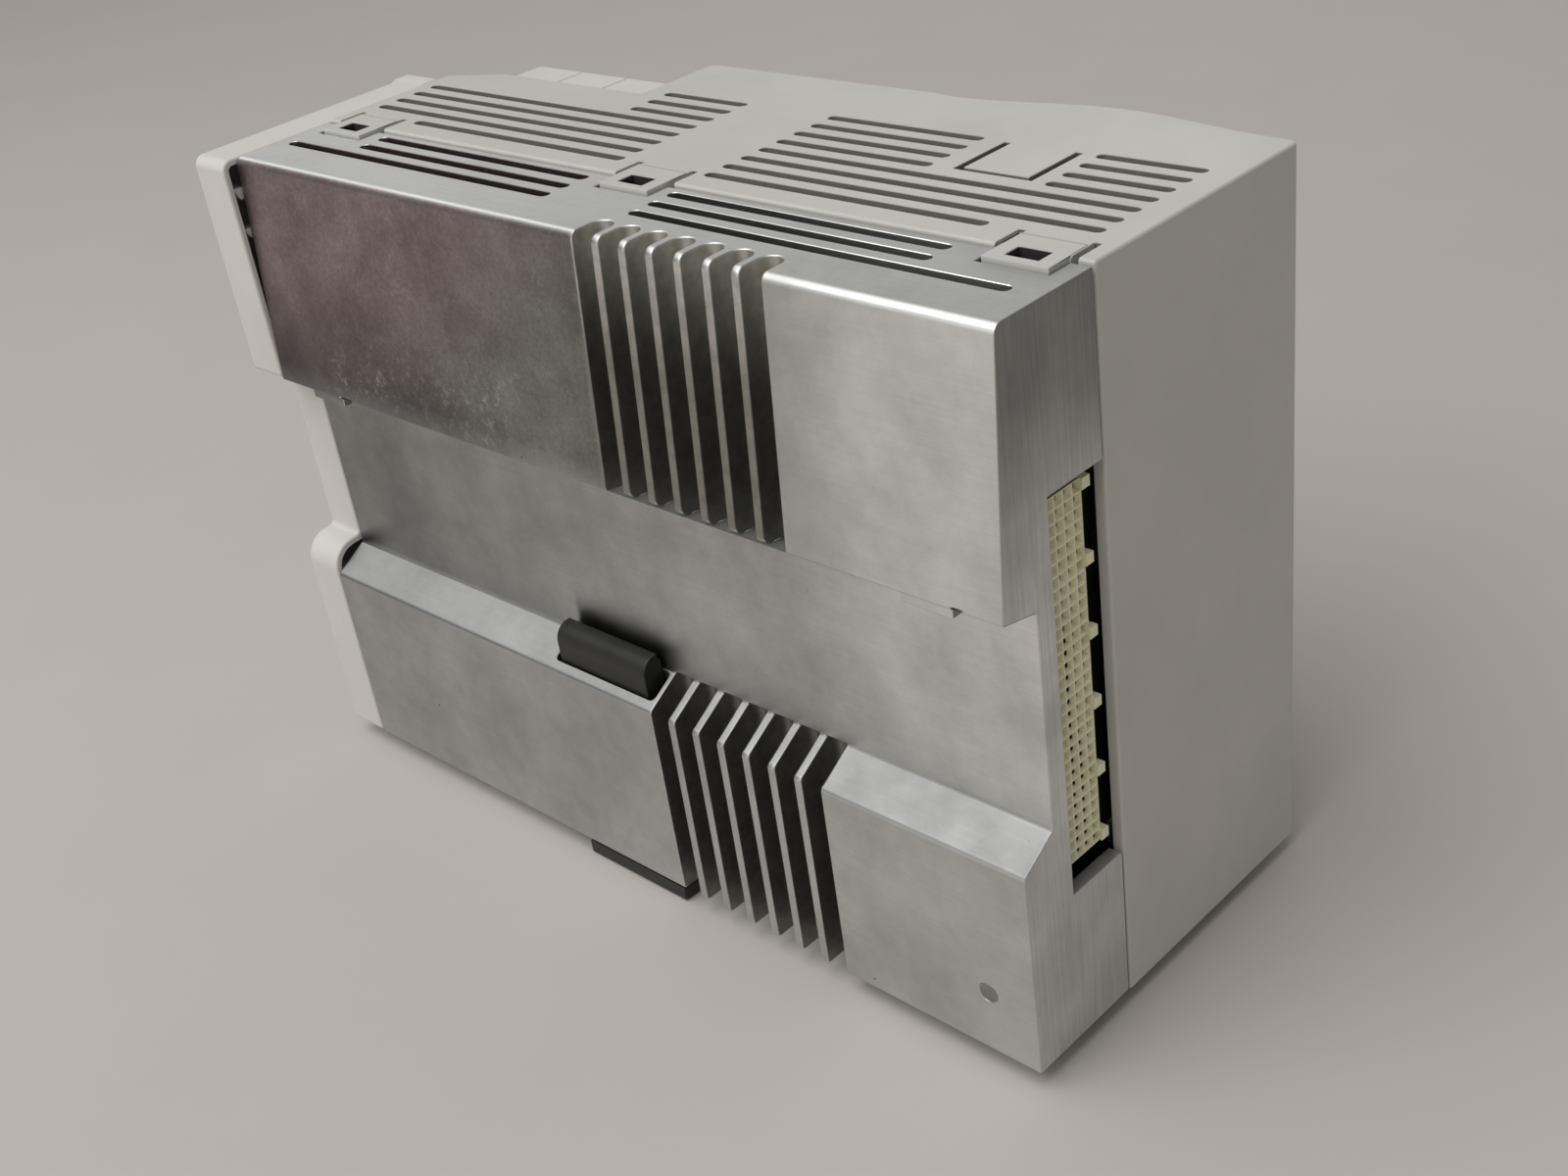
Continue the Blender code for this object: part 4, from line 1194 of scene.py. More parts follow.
@dataclass(frozen=True)
class HousingCasting:
    """Aluminium housing: two ground blocks beside the rail groove, fins, and a tray behind the cover."""

    finishes: Finishes
    width: float = 0.1665
    height: float = 0.1200
    depth: float = 0.02295
    groove_depth: float = 0.00694
    groove: Span = (0.0415, 0.0775)
    lower_top: float = 0.0374
    upper_foot: float = 0.0790
    lean: float = 0.0029
    slots: int = 7
    slot_first: float = 0.0389
    slot_pitch: float = 0.00568
    slot_width: float = 0.00415
    slot_root: float = 0.0068
    air_width: float = 0.0019
    air_pitch: float = 0.0040
    air_first: float = 0.01265
    air_columns: tuple[Span, Span] = ((0.0050, 0.0748), (0.0934, 0.1634))
    short_columns: tuple[Span, Span] = ((0.0210, 0.0748), (0.0934, 0.1476))
    hooks: tuple[float, ...] = (0.0093, 0.08325, 0.1570)
    channel: Span = (0.0780, 0.1030)
    screws: tuple[tuple[float, float], ...] = ((0.010, 0.010), (0.156, 0.010), (0.010, 0.110), (0.156, 0.110))
    mark: tuple[float, float] = (0.0088, 0.0118)
    # Tumbling rounds the outer edges more than those of the slots that are cut later.
    outer_ease: float = 0.00026
    slot_ease: float = 0.00010

    def casting(self) -> Shape:
        """Runs the casting's outline across the module and adds the hook lips over the groove.

        Returns:
            The plain casting.
        """
        outline = rounded(
            [
                (0, 0, 0.0007),
                (0, self.lower_top, 0.0012),
                (self.groove_depth, self.groove[0], 0),
                (self.groove_depth, self.groove[1], 0.0005),
                (0, self.upper_foot, 0.0004),
                (self.lean, self.height, 0.0014),
                (self.depth, self.height, 0),
                (self.depth, 0, 0),
            ]
        )
        body = Shape.prism("heat_sink_casting", [outline], Axis.ACROSS, (0, self.width))
        lips = Shape.boxes(
            "hook_lips",
            [
                ((0.0089, 0.0180), (0.0005, 0.0050), (0.0772, 0.0800)),
                ((0.1482, 0.1576), (0.0005, 0.0050), (0.0772, 0.0800)),
            ],
        )
        relief = Shape.boxes(
            "hook_relief",
            [
                ((0.0068, 0.0088), (-0.0010, 0.0050), (0.0760, 0.0794)),
                ((0.1447, 0.1481), (-0.0010, 0.0050), (0.0760, 0.0794)),
            ],
        )
        return body.join(lips).cut(relief)

    def cooling_slots(self) -> list[Shape]:
        """Makes the cutters of the cooling slots, whose roots are half round.

        Returns:
            The cutter of the upper set and that of the lower set.
        """
        half = self.slot_width / 2
        turns = [math.radians(15 * step) for step in range(13)]
        outlines = []
        for index in range(self.slots):
            middle = self.slot_first + index * self.slot_pitch + self.slot_width / 2
            root = [
                (middle + half * math.cos(turn), self.slot_root + half * math.sin(turn)) for turn in turns
            ]
            outlines.append(root + [(middle - half, -0.003), (middle + half, -0.003)])
        return [
            Shape.prism("upper_slots", outlines, Axis.HEIGHT, (self.groove[1] + 0.0003, self.height + 0.003)),
            Shape.prism("lower_slots", outlines, Axis.HEIGHT, (-0.003, self.groove[0] + 0.0001)),
        ]

    def fin_corners(self) -> Shape:
        """Makes the cutter that rounds the fins' corners at the groove.

        Returns:
            The cutter.
        """
        first = self.slot_first + self.slot_width / 2
        last = self.slot_first + (self.slots - 1) * self.slot_pitch + self.slot_width / 2
        radius = 0.0017
        foot = self.upper_foot - 0.0003
        turns = [math.radians(10 * step) for step in range(10)]
        low = [(radius - radius * math.cos(turn), foot + radius - radius * math.sin(turn)) for turn in turns]
        low += [(-0.001, foot - 0.001), (-0.001, foot + radius)]
        return Shape.prism("fin_corner_cutter", [low], Axis.ACROSS, (first, last))

    def hollows(self) -> list[Shape]:
        """Makes the cutters of the larger hollows.

        Returns:
            The cutters of the latch channel, the board tray, the connector window, the hook seats
            and the pockets.
        """
        far = self.width - 0.0025
        seats: list[Box] = []
        for centre in self.hooks:
            for span in ((self.height - 0.0013, self.height + 0.002), (-0.002, 0.0013)):
                seats.append((around(centre, 0.0059), (0.0184, 0.030), span))
        pockets: list[Box] = [
            ((0.084, 0.150), (0.005, 0.012), (0.083, 0.103)),
            ((0.108, 0.150), (0.003, 0.012), (0.016, 0.035)),
        ]
        channel = rounded(
            [
                (self.channel[0], 0.0017, 0.0009),
                (self.channel[1], 0.0017, 0.0009),
                (self.channel[1], 0.0067, 0.0009),
                (self.channel[0], 0.0067, 0.0009),
            ]
        )
        return [
            Shape.prism("latch_channel", [channel], Axis.HEIGHT, (-0.002, 0.050)),
            Shape.boxes("tray_space", [((0.0025, far), (0.0105, 0.030), (0.003, self.height - 0.003))]),
            Shape.boxes("window_space", [((-0.002, 0.005), (0.0109, 0.030), (0.0272, 0.0930))]),
            Shape.boxes("hook_seats", seats),
            Shape.boxes("core_pockets", pockets),
        ]

    def air_slots(self) -> Shape:
        """Makes the cutter of the air slots through the top and the bottom.

        Returns:
            The cutter.
        """
        rows = []
        for index in range(3):
            depth = self.air_first + index * self.air_pitch
            for span in self.air_columns if index == 0 else self.short_columns:
                rows.append(stadium(span, depth, self.air_width))
        top = Shape.prism("top_air_slots", rows, Axis.HEIGHT, (self.height - 0.005, self.height + 0.002))
        return top.join(Shape.prism("bottom_air_slots", rows, Axis.HEIGHT, (-0.002, 0.005)))

    def ejector_mark(self) -> Shape:
        """Returns the cutter of the shallow round mark that the mould's ejector pin left."""
        return Shape.drums("ejector_mark", [self.mark], 0.0017, (-0.0020, 0.00004), sides=40)

    def hook_pits(self) -> Shape:
        """Makes the cutter of the pits that the cover's snap tongues catch in.

        Returns:
            The cutter.
        """
        pits: list[Box] = []
        for centre in self.hooks:
            for span in ((self.height - 0.006, self.height), (0, 0.006)):
                pits.append((around(centre, 0.0030), (0.0203, 0.0260), span))
        return Shape.boxes("hook_pits", pits)

    def is_skin(self, spot: Spot) -> bool:
        """Says whether a face lies in a slot, a pocket or the tray, where the casting was never ground, or in
        a notch by the hook lips, where the dark skin stands for painted shade.

        Args:
            spot: Where the face lies.

        Returns:
            Whether it keeps the as-cast skin.
        """
        across, depth, height, normal = spot
        last = self.slot_first + (self.slots - 1) * self.slot_pitch + self.slot_width
        in_slots = self.slot_first - 0.0005 < across < last + 0.0005 and depth > 0.0009
        off_groove = height > self.groove[1] + 0.0010 or height < self.groove[0] - 0.0002
        slot_wall = in_slots and off_groove and depth < 0.0092 and abs(normal.z) < 0.4
        # Painted shade: the notches by the hook lips take the dark skin.
        notch = across < 0.160 and depth < 0.0050 and 0.0765 < height < 0.0795 and abs(normal.x) > 0.9
        inner = 0.0026 < across < self.width - 0.0026 and 0.0031 < height < self.height - 0.0031
        tray = depth > 0.0103 and inner
        beside_latch = self.channel[0] - 0.0001 < across < self.channel[1] + 0.0001 and abs(normal.z) < 0.4
        channel = beside_latch and 0.0016 < depth < 0.0068 and height < self.groove[0]
        by_mark = math.hypot(across - self.mark[0], height - self.mark[1]) < 0.0010
        return slot_wall or tray or notch or channel or (by_mark and depth < 0.0005)

    def build(self) -> list[bpy.types.Object]:
        """Casts, cuts and finishes the housing.

        Returns:
            The finished housing.
        """
        channel, *spaces = self.hollows()
        body = self.casting().cut(*self.cooling_slots(), self.fin_corners())
        body.cut(*spaces)
        body.ease(self.outer_ease, layer=Layer.EDGE).bake()
        body.cut(channel, self.air_slots().bake(), self.ejector_mark(), self.hook_pits())
        bosses = Shape.drums("screw_bosses", self.screws, 0.0035, (0.009, 0.0223), sides=24)
        bores = Shape.drums("boss_bores", self.screws, 0.0017, (0.0115, 0.030), sides=20)
        peg = Shape.boxes("latch_peg", [(around(0.09075, 0.003), (0.0026, 0.0080), (0.0085, 0.0105))])
        body.join(bosses, peg).cut(bores)
        body.ease(self.slot_ease, segments=1, over=62.0, layer=Layer.EDGE).bake()
        body.paint(Layer.INSIDE, self.is_skin)
        metals = [self.finishes.aluminium, self.finishes.metal_edge, self.finishes.metal_skin]
        return [body.settle("housing", ["heat_sink_housing"], "milled_aluminium", metals)]


@dataclass(frozen=True)
class FrontCover:
    """Moulded cover: slotted top and bottom, snap tongues, a bowed operating front and the terminal bay."""

    finishes: Finishes
    width: float = 0.1665
    height: float = 0.1200
    back: float = 0.02345
    proud: float = 0.0005
    wall: float = 0.0020
    front: float = 0.0728
    inner_front: float = 0.0702
    bulge_base: float = 0.0722
    bulge_rise: float = 0.0036
    bulge_centre: float = 0.0320
    bulge_half: float = 0.0300
    step: float = 0.1176
    bay_wall: float = 0.0553
    bay_end: float = 0.1545
    panel_floor: float = 0.0732
    air_width: float = 0.0019
    air_pitch: float = 0.0040
    air_first: float = 0.02865
    near: Span = (0.0050, 0.0748)
    far: Span = (0.0934, 0.1634)
    hooks: tuple[float, ...] = (0.0093, 0.08325, 0.1570)
    hook_half: float = 0.0054
    outer_ease: float = 0.0005
    opening_ease: float = 0.00018
    keys: tuple[float, ...] = (0.0170, 0.0270, 0.0370, 0.0470)
    jacks: tuple[tuple[float, float], ...] = ((0.066, 0.088), (0.066, 0.070), (0.090, 0.088), (0.090, 0.070))

    def shell(self) -> Shape:
        """Makes the outer form with its inside hollowed out.

        Returns:
            The plain shell.
        """
        steps = [self.bulge_centre - self.bulge_half + self.bulge_half * step / 14 for step in range(29)]
        crown = [
            (
                across,
                self.bulge_base
                + self.bulge_rise
                * math.cos(math.pi * (across - self.bulge_centre) / (2 * self.bulge_half)) ** 2,
            )
            for across in steps
        ]
        outline = [
            (0.0, self.back),
            (0.0, self.bulge_base - 0.0010),
            (0.0008, self.bulge_base - 0.0002),
            *crown,
            (0.0660, self.front),
            (self.step - 0.0012, self.front),
            (self.step, self.front - 0.0012),
            (self.step, self.bay_wall),
            (self.bay_end, self.bay_wall),
            (self.width, 0.0505),
            (self.width, self.back),
        ]
        span = (-self.proud, self.height + self.proud)
        outer = Shape.prism("moulded_front_cover", [outline], Axis.HEIGHT, span)
        outer.ease(self.outer_ease, over=25.0, layer=Layer.EDGE).bake()
        inner = [
            (self.wall, 0.015),
            (self.wall, self.inner_front),
            (self.step - self.wall, self.inner_front),
            (self.step - self.wall, self.bay_wall - self.wall),
            (self.bay_end - 0.0006, self.bay_wall - self.wall),
            (self.width - self.wall, 0.0486),
            (self.width - self.wall, 0.015),
        ]
        within = (self.wall, self.height - self.wall)
        return outer.cut(Shape.prism("cover_space", [inner], Axis.HEIGHT, within))

    def hook_spans(self) -> tuple[list[Box], list[Box], list[Box]]:
        """Sets out the snap tongues.

        Returns:
            The blocks of the tongues, of their slits and of their holes.
        """
        tongues: list[Box] = []
        slits: list[Box] = []
        holes: list[Box] = []
        for centre in self.hooks:
            for tongue, through in (
                ((self.height - 0.0009, self.height + 0.0006), (self.height - 0.004, self.height + 0.003)),
                ((-0.0006, 0.0009), (-0.003, 0.004)),
            ):
                tongues.append((around(centre, self.hook_half), (0.0190, self.back + 0.004), tongue))
                holes.append((around(centre, 0.0027), (0.0205, 0.0237), through))
                for side in (-1, 1):
                    middle = centre + side * (self.hook_half + 0.0006)
                    slits.append((around(middle, 0.0006), (self.back - 0.002, 0.0289), through))
        return tongues, slits, holes

    def air_rows(self) -> list[list[tuple[float, float]]]:
        """Sets out the air slots, which leave room for the hooks and the spring tab.

        Returns:
            The slots' outlines.
        """
        rows = []
        for index in range(8):
            spans = [self.near, self.far]
            if index == 0:
                spans = [(0.0210, self.near[1]), (self.far[0], 0.1476)]
            elif index >= 4:
                spans = [(self.near[0], 0.0232), (0.0438, self.near[1])]
                spans.append(self.far if index == 4 else (self.far[0], 0.1128))
            depth = self.air_first + index * self.air_pitch
            rows += [stadium(span, depth, self.air_width) for span in spans]
        return rows

    def front_openings(self) -> list[Shape]:
        """Makes the cutters of the panel recess and of every opening in the front.

        Returns:
            The cutters.
        """
        through = (0.066, 0.080)
        corners = ((0.0110, 0.0640), (0.0530, 0.0640), (0.0530, 0.1120), (0.0110, 0.1120))
        recess = rounded([(across, height, 0.0015) for across, height in corners])
        spans: list[Box] = [
            ((0.0160, 0.0480), through, (0.0880, 0.1070)),
            ((0.0197, 0.0243), through, (0.0140, 0.0580)),
            ((0.0284, 0.0334), through, (0.0146, 0.0194)),
            ((0.0680, 0.0805), through, (0.0260, 0.0570)),
            ((0.0880, 0.1100), through, (0.0260, 0.0600)),
        ]
        spans += [(around(across, 0.0037), through, around(0.0790, 0.0027)) for across in self.keys]
        for across, height in self.jacks:
            spans.append(((across - 0.0003, across + 0.0163), through, (height - 0.0003, height + 0.0138)))
        pipes = [(0.0680 + index * 0.0060, 0.1110) for index in range(7)]
        return [
            Shape.prism("panel_recess", [recess], Axis.DEPTH, (self.panel_floor, 0.080)),
            Shape.boxes("front_openings", spans),
            Shape.drums("pipe_holes", pipes, 0.0013, through, sides=24),
            Shape.drums("reset_hole", [(0.0470, 0.0700)], 0.0020, through),
            Shape.boxes("header_opening", [((0.1200, 0.1524), (0.050, 0.058), (0.0380, 0.0960))]),
        ]

    def is_slot_wall(self, spot: Spot) -> bool:
        """Says whether a face is the inside of an air slot, which takes the painted shade.

        Args:
            spot: Where the face lies.

        Returns:
            Whether it takes the painted shade.
        """
        across, depth, height, normal = spot
        below_top = self.height - self.wall - 0.0002 < height < self.height + self.proud - 0.0002
        above_foot = -self.proud + 0.0002 < height < self.wall + 0.0002
        within = self.air_first - 0.002 < depth < 0.0620 and 0.003 < across < self.width - 0.0025
        return (below_top or above_foot) and within and abs(normal.z) < 0.3

    def is_hook_hole(self, spot: Spot) -> bool:
        """Says whether a face is a wall of a snap tongue's hole, which is painted black as painted shadow."""
        near_hook = min(abs(spot.across - centre) for centre in self.hooks) < 0.0028
        return near_hook and 0.0204 < spot.depth < 0.0238 and abs(spot.normal.z) < 0.3

    def build(self) -> list[bpy.types.Object]:
        """Moulds, cuts and finishes the cover.

        Returns:
            The finished cover.
        """
        tongues, slits, holes = self.hook_spans()
        top = (self.height - 0.004, self.height + 0.003)
        tab: list[Box] = [
            ((0.0257, 0.0269), (0.0445, 0.0569), top),
            ((0.0386, 0.0398), (0.0445, 0.0569), top),
        ]
        body = self.shell().join(Shape.boxes("hook_tongues", tongues))
        body.cut(Shape.boxes("hook_slits", slits), Shape.boxes("hook_holes", holes))
        tab_end: Box = ((0.0260, 0.0395), (0.0445, 0.0455), top)
        body.cut(Shape.boxes("tab_arms", tab), Shape.boxes("tab_end", [tab_end]))
        rows = self.air_rows()
        body.cut(
            Shape.prism("cover_top_slots", rows, Axis.HEIGHT, top),
            Shape.prism("cover_bottom_slots", rows, Axis.HEIGHT, (-0.003, 0.004)),
        )
        body.cut(*self.front_openings())
        body.ease(self.opening_ease, segments=2, over=62.0, layer=Layer.EDGE).bake()
        # The air slots' walls take the painted shade, and the tongues' holes the painted shadow.
        body.paint(Layer.INSIDE, self.is_slot_wall).paint(Layer.PAINTED_SHADOW, self.is_hook_hole)
        look = self.finishes
        plastics = [look.cover, look.cover_edge, look.cover_slot_shade, look.cover_hole_shadow]
        return [body.settle("housing", ["front_cover"], "cover_plastic", plastics)]


@dataclass(frozen=True)
class EndPlate:
    """White hollow end plate that closes the far end and repeats the housing's outline."""

    finishes: Finishes
    near: float = 0.1668
    far: float = 0.1760
    height: float = 0.1200
    groove_depth: float = 0.00694
    skin: float = 0.0012

    def clips(self) -> list[list[tuple[float, float, float]]]:
        """Sets out the three small clips inside the hollow.

        Returns:
            Each clip's corners as (depth, height, radius).
        """
        top = self.height
        return [
            [
                (0.0024, top - 0.0075, 0),
                (0.0060, top - 0.0075, 0.0008),
                (0.0060, top - 0.0060, 0.0006),
                (0.0010, top - 0.0052, 0),
            ],
            [
                (0.0024, top - 0.0145, 0),
                (0.0052, top - 0.0145, 0.0007),
                (0.0052, top - 0.0132, 0.0006),
                (0.0010, top - 0.0126, 0),
            ],
            [
                (0.0010, 0.0360, 0),
                (0.0046, 0.0352, 0.0006),
                (0.0046, 0.0368, 0.0006),
                (0.0010, 0.0374, 0),
            ],
        ]

    def build(self) -> list[bpy.types.Object]:
        """Moulds, hollows and finishes the plate.

        Returns:
            The finished plate.
        """
        corners = [
            (0, 0, 0.0010),
            (0, 0.0425, 0.0050),
            (self.groove_depth, 0.0430, 0.0010),
            (self.groove_depth, 0.0790, 0.0010),
            (0, 0.0790, 0.0010),
            (0, self.height, 0.0020),
            (0.0440, self.height, 0),
            (0.0452, self.height + 0.0005, 0),
            (0.0488, self.height + 0.0005, 0.0010),
            (0.0488, 0, 0.0010),
        ]
        outline = rounded(corners, segments=10)
        plate = Shape.prism("white_end_plate", [outline], Axis.ACROSS, (self.near, self.far))
        plate.ease(0.0005, over=50.0).bake()
        skin = self.skin
        hollow = rounded(
            [
                (skin, skin, 0),
                (skin, 0.0413, 0.0040),
                (self.groove_depth + skin, 0.0418, 0),
                (self.groove_depth + skin, 0.0802, 0),
                (skin, 0.0802, 0),
                (skin, self.height - skin, 0.0010),
                (0.0476, self.height - skin, 0),
                (0.0476, skin, 0),
            ]
        )
        plate.cut(Shape.prism("plate_space", [hollow], Axis.ACROSS, (self.near - 0.002, self.far - 0.0014)))
        clips = [rounded(clip) for clip in self.clips()]
        plate.join(Shape.prism("plate_clips", clips, Axis.ACROSS, (self.near + 0.0004, self.far - 0.0010)))
        plate.ease(0.00012, segments=1, over=62.0)
        return [plate.settle("housing", ["end_plate"], "white_plastic", [self.finishes.white])]


@dataclass(frozen=True)
class BusConnector:
    """Ivory socket body with four columns of pyramid funnels that lead the neighbour's pins in."""

    finishes: Finishes
    across: Span = (0.0018, 0.0120)
    depth: Span = (0.0123, 0.0203)
    height: Span = (0.0308, 0.0912)
    columns: int = 4
    rows: int = 30
    ridge: float = 0.00012
    funnel: float = 0.0017
    waist: float = 0.00052
    hole: float = 0.00014
    hole_depth: float = 0.0030
    tabs: int = 6
    tab_pitch: float = 0.01172

    def funnels(self) -> bmesh.types.BMesh:
        """Makes the connector's face: a cell for each pin, with its ridge, its funnel and its pin hole.

        Returns:
            The face as one sheet, open at its outer edge.
        """
        shape = bmesh.new()
        known: dict[tuple[float, float, float], bmesh.types.BMVert] = {}
        turns = ((-1, -1), (1, -1), (1, 1), (-1, 1))
        wide = (self.depth[1] - self.depth[0]) / self.columns
        tall = (self.height[1] - self.height[0]) / self.rows
        face, root = self.across[0], self.across[0] + self.funnel
        for column in range(self.columns):
            for row in range(self.rows):
                depth = self.depth[0] + (column + 0.5) * wide
                height = self.height[0] + (row + 0.5) * tall
                rings = []
                for across, half_wide, half_tall in (
                    (face, wide / 2, tall / 2),
                    (face, wide / 2 - self.ridge, tall / 2 - self.ridge),
                    (face + self.funnel / 2, self.waist, self.waist),
                    (root, self.hole, self.hole),
                    (root + self.hole_depth, self.hole, self.hole),
                ):
                    ring = []
                    for u, v in turns:
                        place = (across, depth + u * half_wide, height + v * half_tall)
                        key = tuple(round(value, 7) for value in place)
                        # Neighbouring cells share the vertices where they meet.
                        if key not in known:
                            known[key] = shape.verts.new(DATUMS.place(*key))
                        ring.append(known[key])
                    rings.append(ring)
                for outer, inner in zip(rings, rings[1:]):
                    for side in range(4):
                        nearer = (side + 1) % 4
                        shape.faces.new((outer[side], outer[nearer], inner[nearer], inner[side]))
                shape.faces.new(rings[-1])
        return shape

    def build(self) -> list[bpy.types.Object]:
        """Gives the face a body and tabs, and finishes the connector.

        Returns:
            The finished connector.
        """
        shape = self.funnels()
        outer_edge = [edge for edge in shape.edges if edge.is_boundary]
        made = bmesh.ops.extrude_edge_only(shape, edges=outer_edge)
        moved = [part for part in made["geom"] if isinstance(part, bmesh.types.BMVert)]
        for part in moved:
            part.co.x += self.across[1] - self.across[0]
        rim = [part for part in made["geom"] if isinstance(part, bmesh.types.BMEdge) and part.is_boundary]
        bmesh.ops.contextual_create(shape, geom=rim)
        body = Shape("ivory_bus_connector", Shape.closed("ivory_bus_connector", shape))
        tabs: list[Box] = []
        for index in range(self.tabs):
            foot = 0.0310 + index * self.tab_pitch
            tabs.append(((0.0012, 0.0040), (0.0198, 0.0215), (foot, foot + 0.0017)))
        body.join(Shape.boxes("connector_tabs", tabs)).bake()
        # Its second finish is the painted shade of the funnels' roots.
        body.paint(Layer.EDGE, self.is_root)
        plastics = [self.finishes.ivory, self.finishes.ivory_painted_shade]
        return [body.settle("housing", ["bus_connector"], "ivory_plastic", plastics)]

    def is_root(self, spot: Spot) -> bool:
        """Says whether a face is deep in a funnel, where shade is painted."""
        deep = self.across[0] + self.funnel * 0.70 < spot.across < self.across[1] - 0.001
        return deep and self.depth[0] + 0.0003 < spot.depth < self.depth[1] - 0.0003


@dataclass(frozen=True)
class FootLatch:
    """Black sliding latch whose rounded head closes on the rail, with its pull bar under the housing."""

    finishes: Finishes
    across: Span = (0.0796, 0.1019)
    bar: Span = (0.0776, 0.1027)
    drop: float = 0.0030

    def build(self) -> list[bpy.types.Object]:
        """Joins head, plate and pull bar, and finishes the latch.

        Returns:
            The finished latch.
        """
        head = rounded(
            [
                (0.0021, 0.0280, 0),
                (0.0021, 0.0452, 0.0030),
                (0.0058, 0.0452, 0.0004),
                (0.0058, 0.0438, 0),
                (0.0064, 0.0438, 0),
                (0.0064, 0.0280, 0),
            ],
            segments=12,
        )
        latch = Shape.prism("sliding_foot_latch", [head], Axis.ACROSS, self.across)
        middle = sum(self.across) / 2
        latch.join(
            Shape.boxes("latch_plate", [(self.across, (0.0021, 0.0056), (-0.0010, 0.0290))]),
            Shape.boxes("pull_bar", [(self.bar, (0.0002, 0.0064), (-self.drop, -0.0004))]),
        )
        window: Box = (around(middle, 0.0036), (0.0010, 0.0075), (0.0082, 0.0280))
        latch.cut(Shape.boxes("spring_window", [window]))
        latch.ease(0.0003)
        return [latch.settle("latch", ["foot_latch"], "black_plastic", [self.finishes.black])]


@dataclass(frozen=True)
class SmallParts:
    """The front's controls, connectors and terminals and the inner parts, eased and dressed."""

    finishes: Finishes
    latch_travel: float = 0.0050

    def spring(self) -> bpy.types.Object:
        """Makes the latch's coil spring.

        Returns:
            The finished spring.
        """
        coil = Shape.copy_of("latch_spring", "latch_coil_spring")
        made = coil.settle("housing", ["latch_spring"], "steel", [self.finishes.spring])
        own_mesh(made)
        return made

    def eased(
        self, node: str, name: str, body: str, slot: str, width: float, material: bpy.types.Material
    ) -> bpy.types.Object:
        """Makes a piece from a CAD node's shape with its edges eased.

        Args:
            node: The CAD node.
            name: The new piece's name.
            body: The body it moves with.
            slot: The record's material slot.
            width: Width of the rounding on each side of an edge.
            material: Its finish.

        Returns:
            The finished piece.
        """
        made = Shape.copy_of(node, name)
        made.ease(width, segments=2, over=40.0, layer=Layer.FACE)
        return made.settle(body, [node], slot, [material])

    def dress(self, node: str, material: bpy.types.Material) -> None:
        """Gives a CAD node a better material.

        Args:
            node: The CAD node.
            material: Its new material.
        """
        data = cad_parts[node].data
        data.materials.clear()
        data.materials.append(material)

    def build(self) -> list[bpy.types.Object]:
        """Builds and dresses every small part.

        Returns:
            The pieces that take the place of CAD nodes.
        """
        look = self.finishes
        made = [self.spring()]
        for index in (1, 2, 3):
            for node, name, body, width in (
                ("terminal_plug", "plug_body", "plug", 0.00018),
                ("marker_flap", "flap_plate", "flap", 0.00022),
            ):
                names = (f"{node}_{index}", f"{name}_{index}", f"{body}_{index}")
                made.append(self.eased(*names, "white_plastic", width, look.white))
        for index in (1, 2, 3, 4):
            names = (f"network_jack_{index}", f"jack_shield_{index}", "housing")
            made.append(self.eased(*names, "tinned_shield", 0.0002, look.tinned))
            self.dress(f"display_key_{index}", look.key)
            self.dress(f"board_screw_{index}", look.steel)
            self.dress(f"processor_board_post_{index}", look.nickel)
        for index in range(1, 6):
            self.dress(f"key_switch_{index}", look.black)
        for index in (1, 2):
            self.dress(f"signal_board_post_{index}", look.nickel)
            self.dress(f"serial_jack_screw_{index}", look.steel)
        for index in (1, 2, 3):
            self.dress(f"smoothing_capacitor_{index}", look.sleeve)
        for node in ("processor_board", "signal_board", "panel_board"):
            self.dress(node, look.board)
        plain = {
            "main_board": look.black_shade_board,
            "serial_port": look.tinned,
            "option_cover": look.cover,
            "card_socket": look.black,
            "memory_card": look.black,
            "card_eject_button": look.key,
            "terminal_header": look.black,
            "display_module": look.black,
            "display_window": look.window,
            "reset_button": look.key,
            "light_pipes": look.clear,
            "thermal_pad": look.pad,
            "processor": look.black,
            "heat_spreader": look.aluminium,
            "buffer_cell": look.steel,
        }
        for node, material in plain.items():
            self.dress(node, material)
        return made


@dataclass(frozen=True)
class Lamp:
    """A large soft light: its place, what it is aimed at, its width and its power in watts."""

    name: str
    place: tuple[float, float, float]
    aim: tuple[float, float, float]
    size: float
    power: float


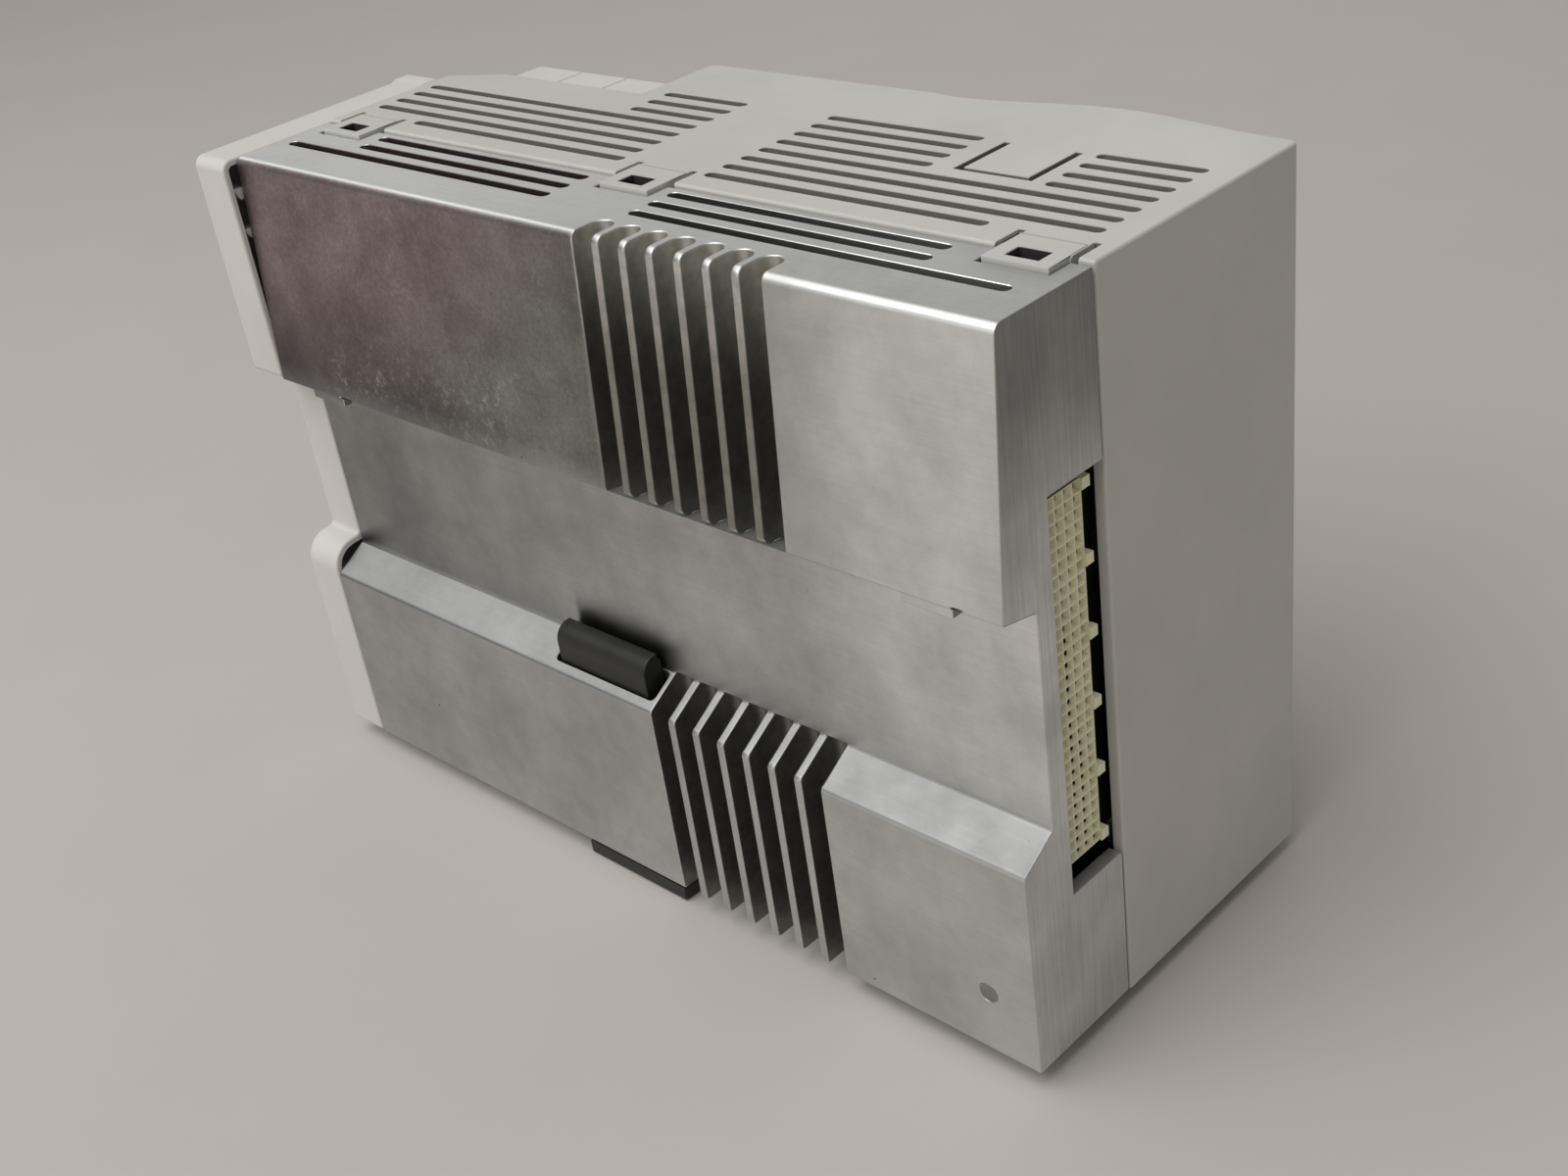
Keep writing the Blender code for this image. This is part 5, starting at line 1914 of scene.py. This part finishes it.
@dataclass(frozen=True)
class Studio:
    """Pale floor, soft light and the camera."""

    camera_place: tuple[float, float, float] = (-0.22562, 0.20121, 0.21449)
    camera_turn: tuple[float, float, float] = (58.7758, 7.7771, -136.2382)
    lens: float = 44.446
    shift: tuple[float, float] = (0.015345, 0.024919)
    lamps: tuple[Lamp, ...] = (
        Lamp("overhead", (0.15, 0.60, 1.20), (0.0, 0.0, 0.05), 1.2, 12.5),
        Lamp("behind", (0.25, 1.30, 0.45), (0.0, 0.0, 0.05), 0.8, 2.0),
        Lamp("front_fill", (0.60, -1.20, 0.12), (0.0, 0.0, 0.06), 0.9, 2.6),
    )
    # The floor lies a hair below the pull bar, so that the two never share a plane.
    floor_height: float = -0.0003
    floor_half: float = 3.0
    floor_colour: str = "#C2BCB7"
    floor_roughness: float = 0.85
    sky_colour: str = "#F4F2EE"
    sky_strength: float = 0.34

    def floor(self) -> None:
        """Lays a large pale floor with a matt surface."""
        shape = bmesh.new()
        bmesh.ops.create_grid(shape, x_segments=8, y_segments=8, size=self.floor_half)
        mesh = bpy.data.meshes.new("studio_floor")
        shape.to_mesh(mesh)
        shape.free()
        floor = bpy.data.objects.new("studio_floor", mesh)
        floor.location.z = self.floor_height
        bpy.context.scene.collection.objects.link(floor)
        material, tree, shader = start_material("matt_paper_floor")
        where = add(tree, "ShaderNodeTexCoord").outputs["Object"]
        fleck = add(tree, "ShaderNodeTexNoise", Noise(40.0, 4.0).inputs(where))
        shade = add(
            tree,
            "ShaderNodeMapRange",
            {"Value": fleck.outputs["Fac"], "To Min": 0.97, "To Max": 1.02},
        )
        base = add(
            tree,
            "ShaderNodeVectorMath",
            {0: linear(self.floor_colour)[:3], "Scale": shade.outputs[0]},
            operation="SCALE",
        )
        tree.links.new(base.outputs[0], shader.inputs["Base Color"])
        shader.inputs["Roughness"].default_value = self.floor_roughness
        mesh.materials.append(material)

    def light(self) -> None:
        """Sets a soft sky and three large soft lights."""
        world = bpy.data.worlds.new("studio_sky")
        world.use_nodes = True
        sky = world.node_tree.nodes["Background"]
        sky.inputs["Color"].default_value = linear(self.sky_colour)
        sky.inputs["Strength"].default_value = self.sky_strength
        bpy.context.scene.world = world
        for lamp in self.lamps:
            light = bpy.data.lights.new(lamp.name, "AREA")
            light.shape = "SQUARE"
            light.size = lamp.size
            light.energy = lamp.power
            made = bpy.data.objects.new(lamp.name, light)
            made.location = lamp.place
            towards = Vector(lamp.aim) - Vector(lamp.place)
            made.rotation_euler = towards.to_track_quat("-Z", "Y").to_euler()
            bpy.context.scene.collection.objects.link(made)

    def camera(self) -> None:
        """Sets the camera."""
        data = bpy.data.cameras.new("studio_camera")
        data.sensor_width = 36.0
        data.lens = self.lens
        data.shift_x, data.shift_y = self.shift
        data.clip_start = 0.01
        made = bpy.data.objects.new("studio_camera", data)
        made.location = self.camera_place
        made.rotation_euler = [math.radians(turn) for turn in self.camera_turn]
        bpy.context.scene.collection.objects.link(made)
        bpy.context.scene.camera = made

    def build(self) -> None:
        """Sets the floor, the light and the camera."""
        self.floor()
        self.light()
        self.camera()
        bpy.context.scene.view_settings.view_transform = "Standard"


def main() -> None:
    """Builds every piece in order."""
    logging.basicConfig(level=logging.INFO, format="%(name)s %(message)s")
    Studio().build()
    finishes = Finishes()
    for assembly in (HousingCasting, FrontCover, EndPlate, BusConnector, FootLatch, SmallParts):
        for piece in assembly(finishes).build():
            LOG.info("%s: %s with %d faces", assembly.__name__, piece.name, len(piece.data.polygons))


if __name__ == "__main__":
    main()
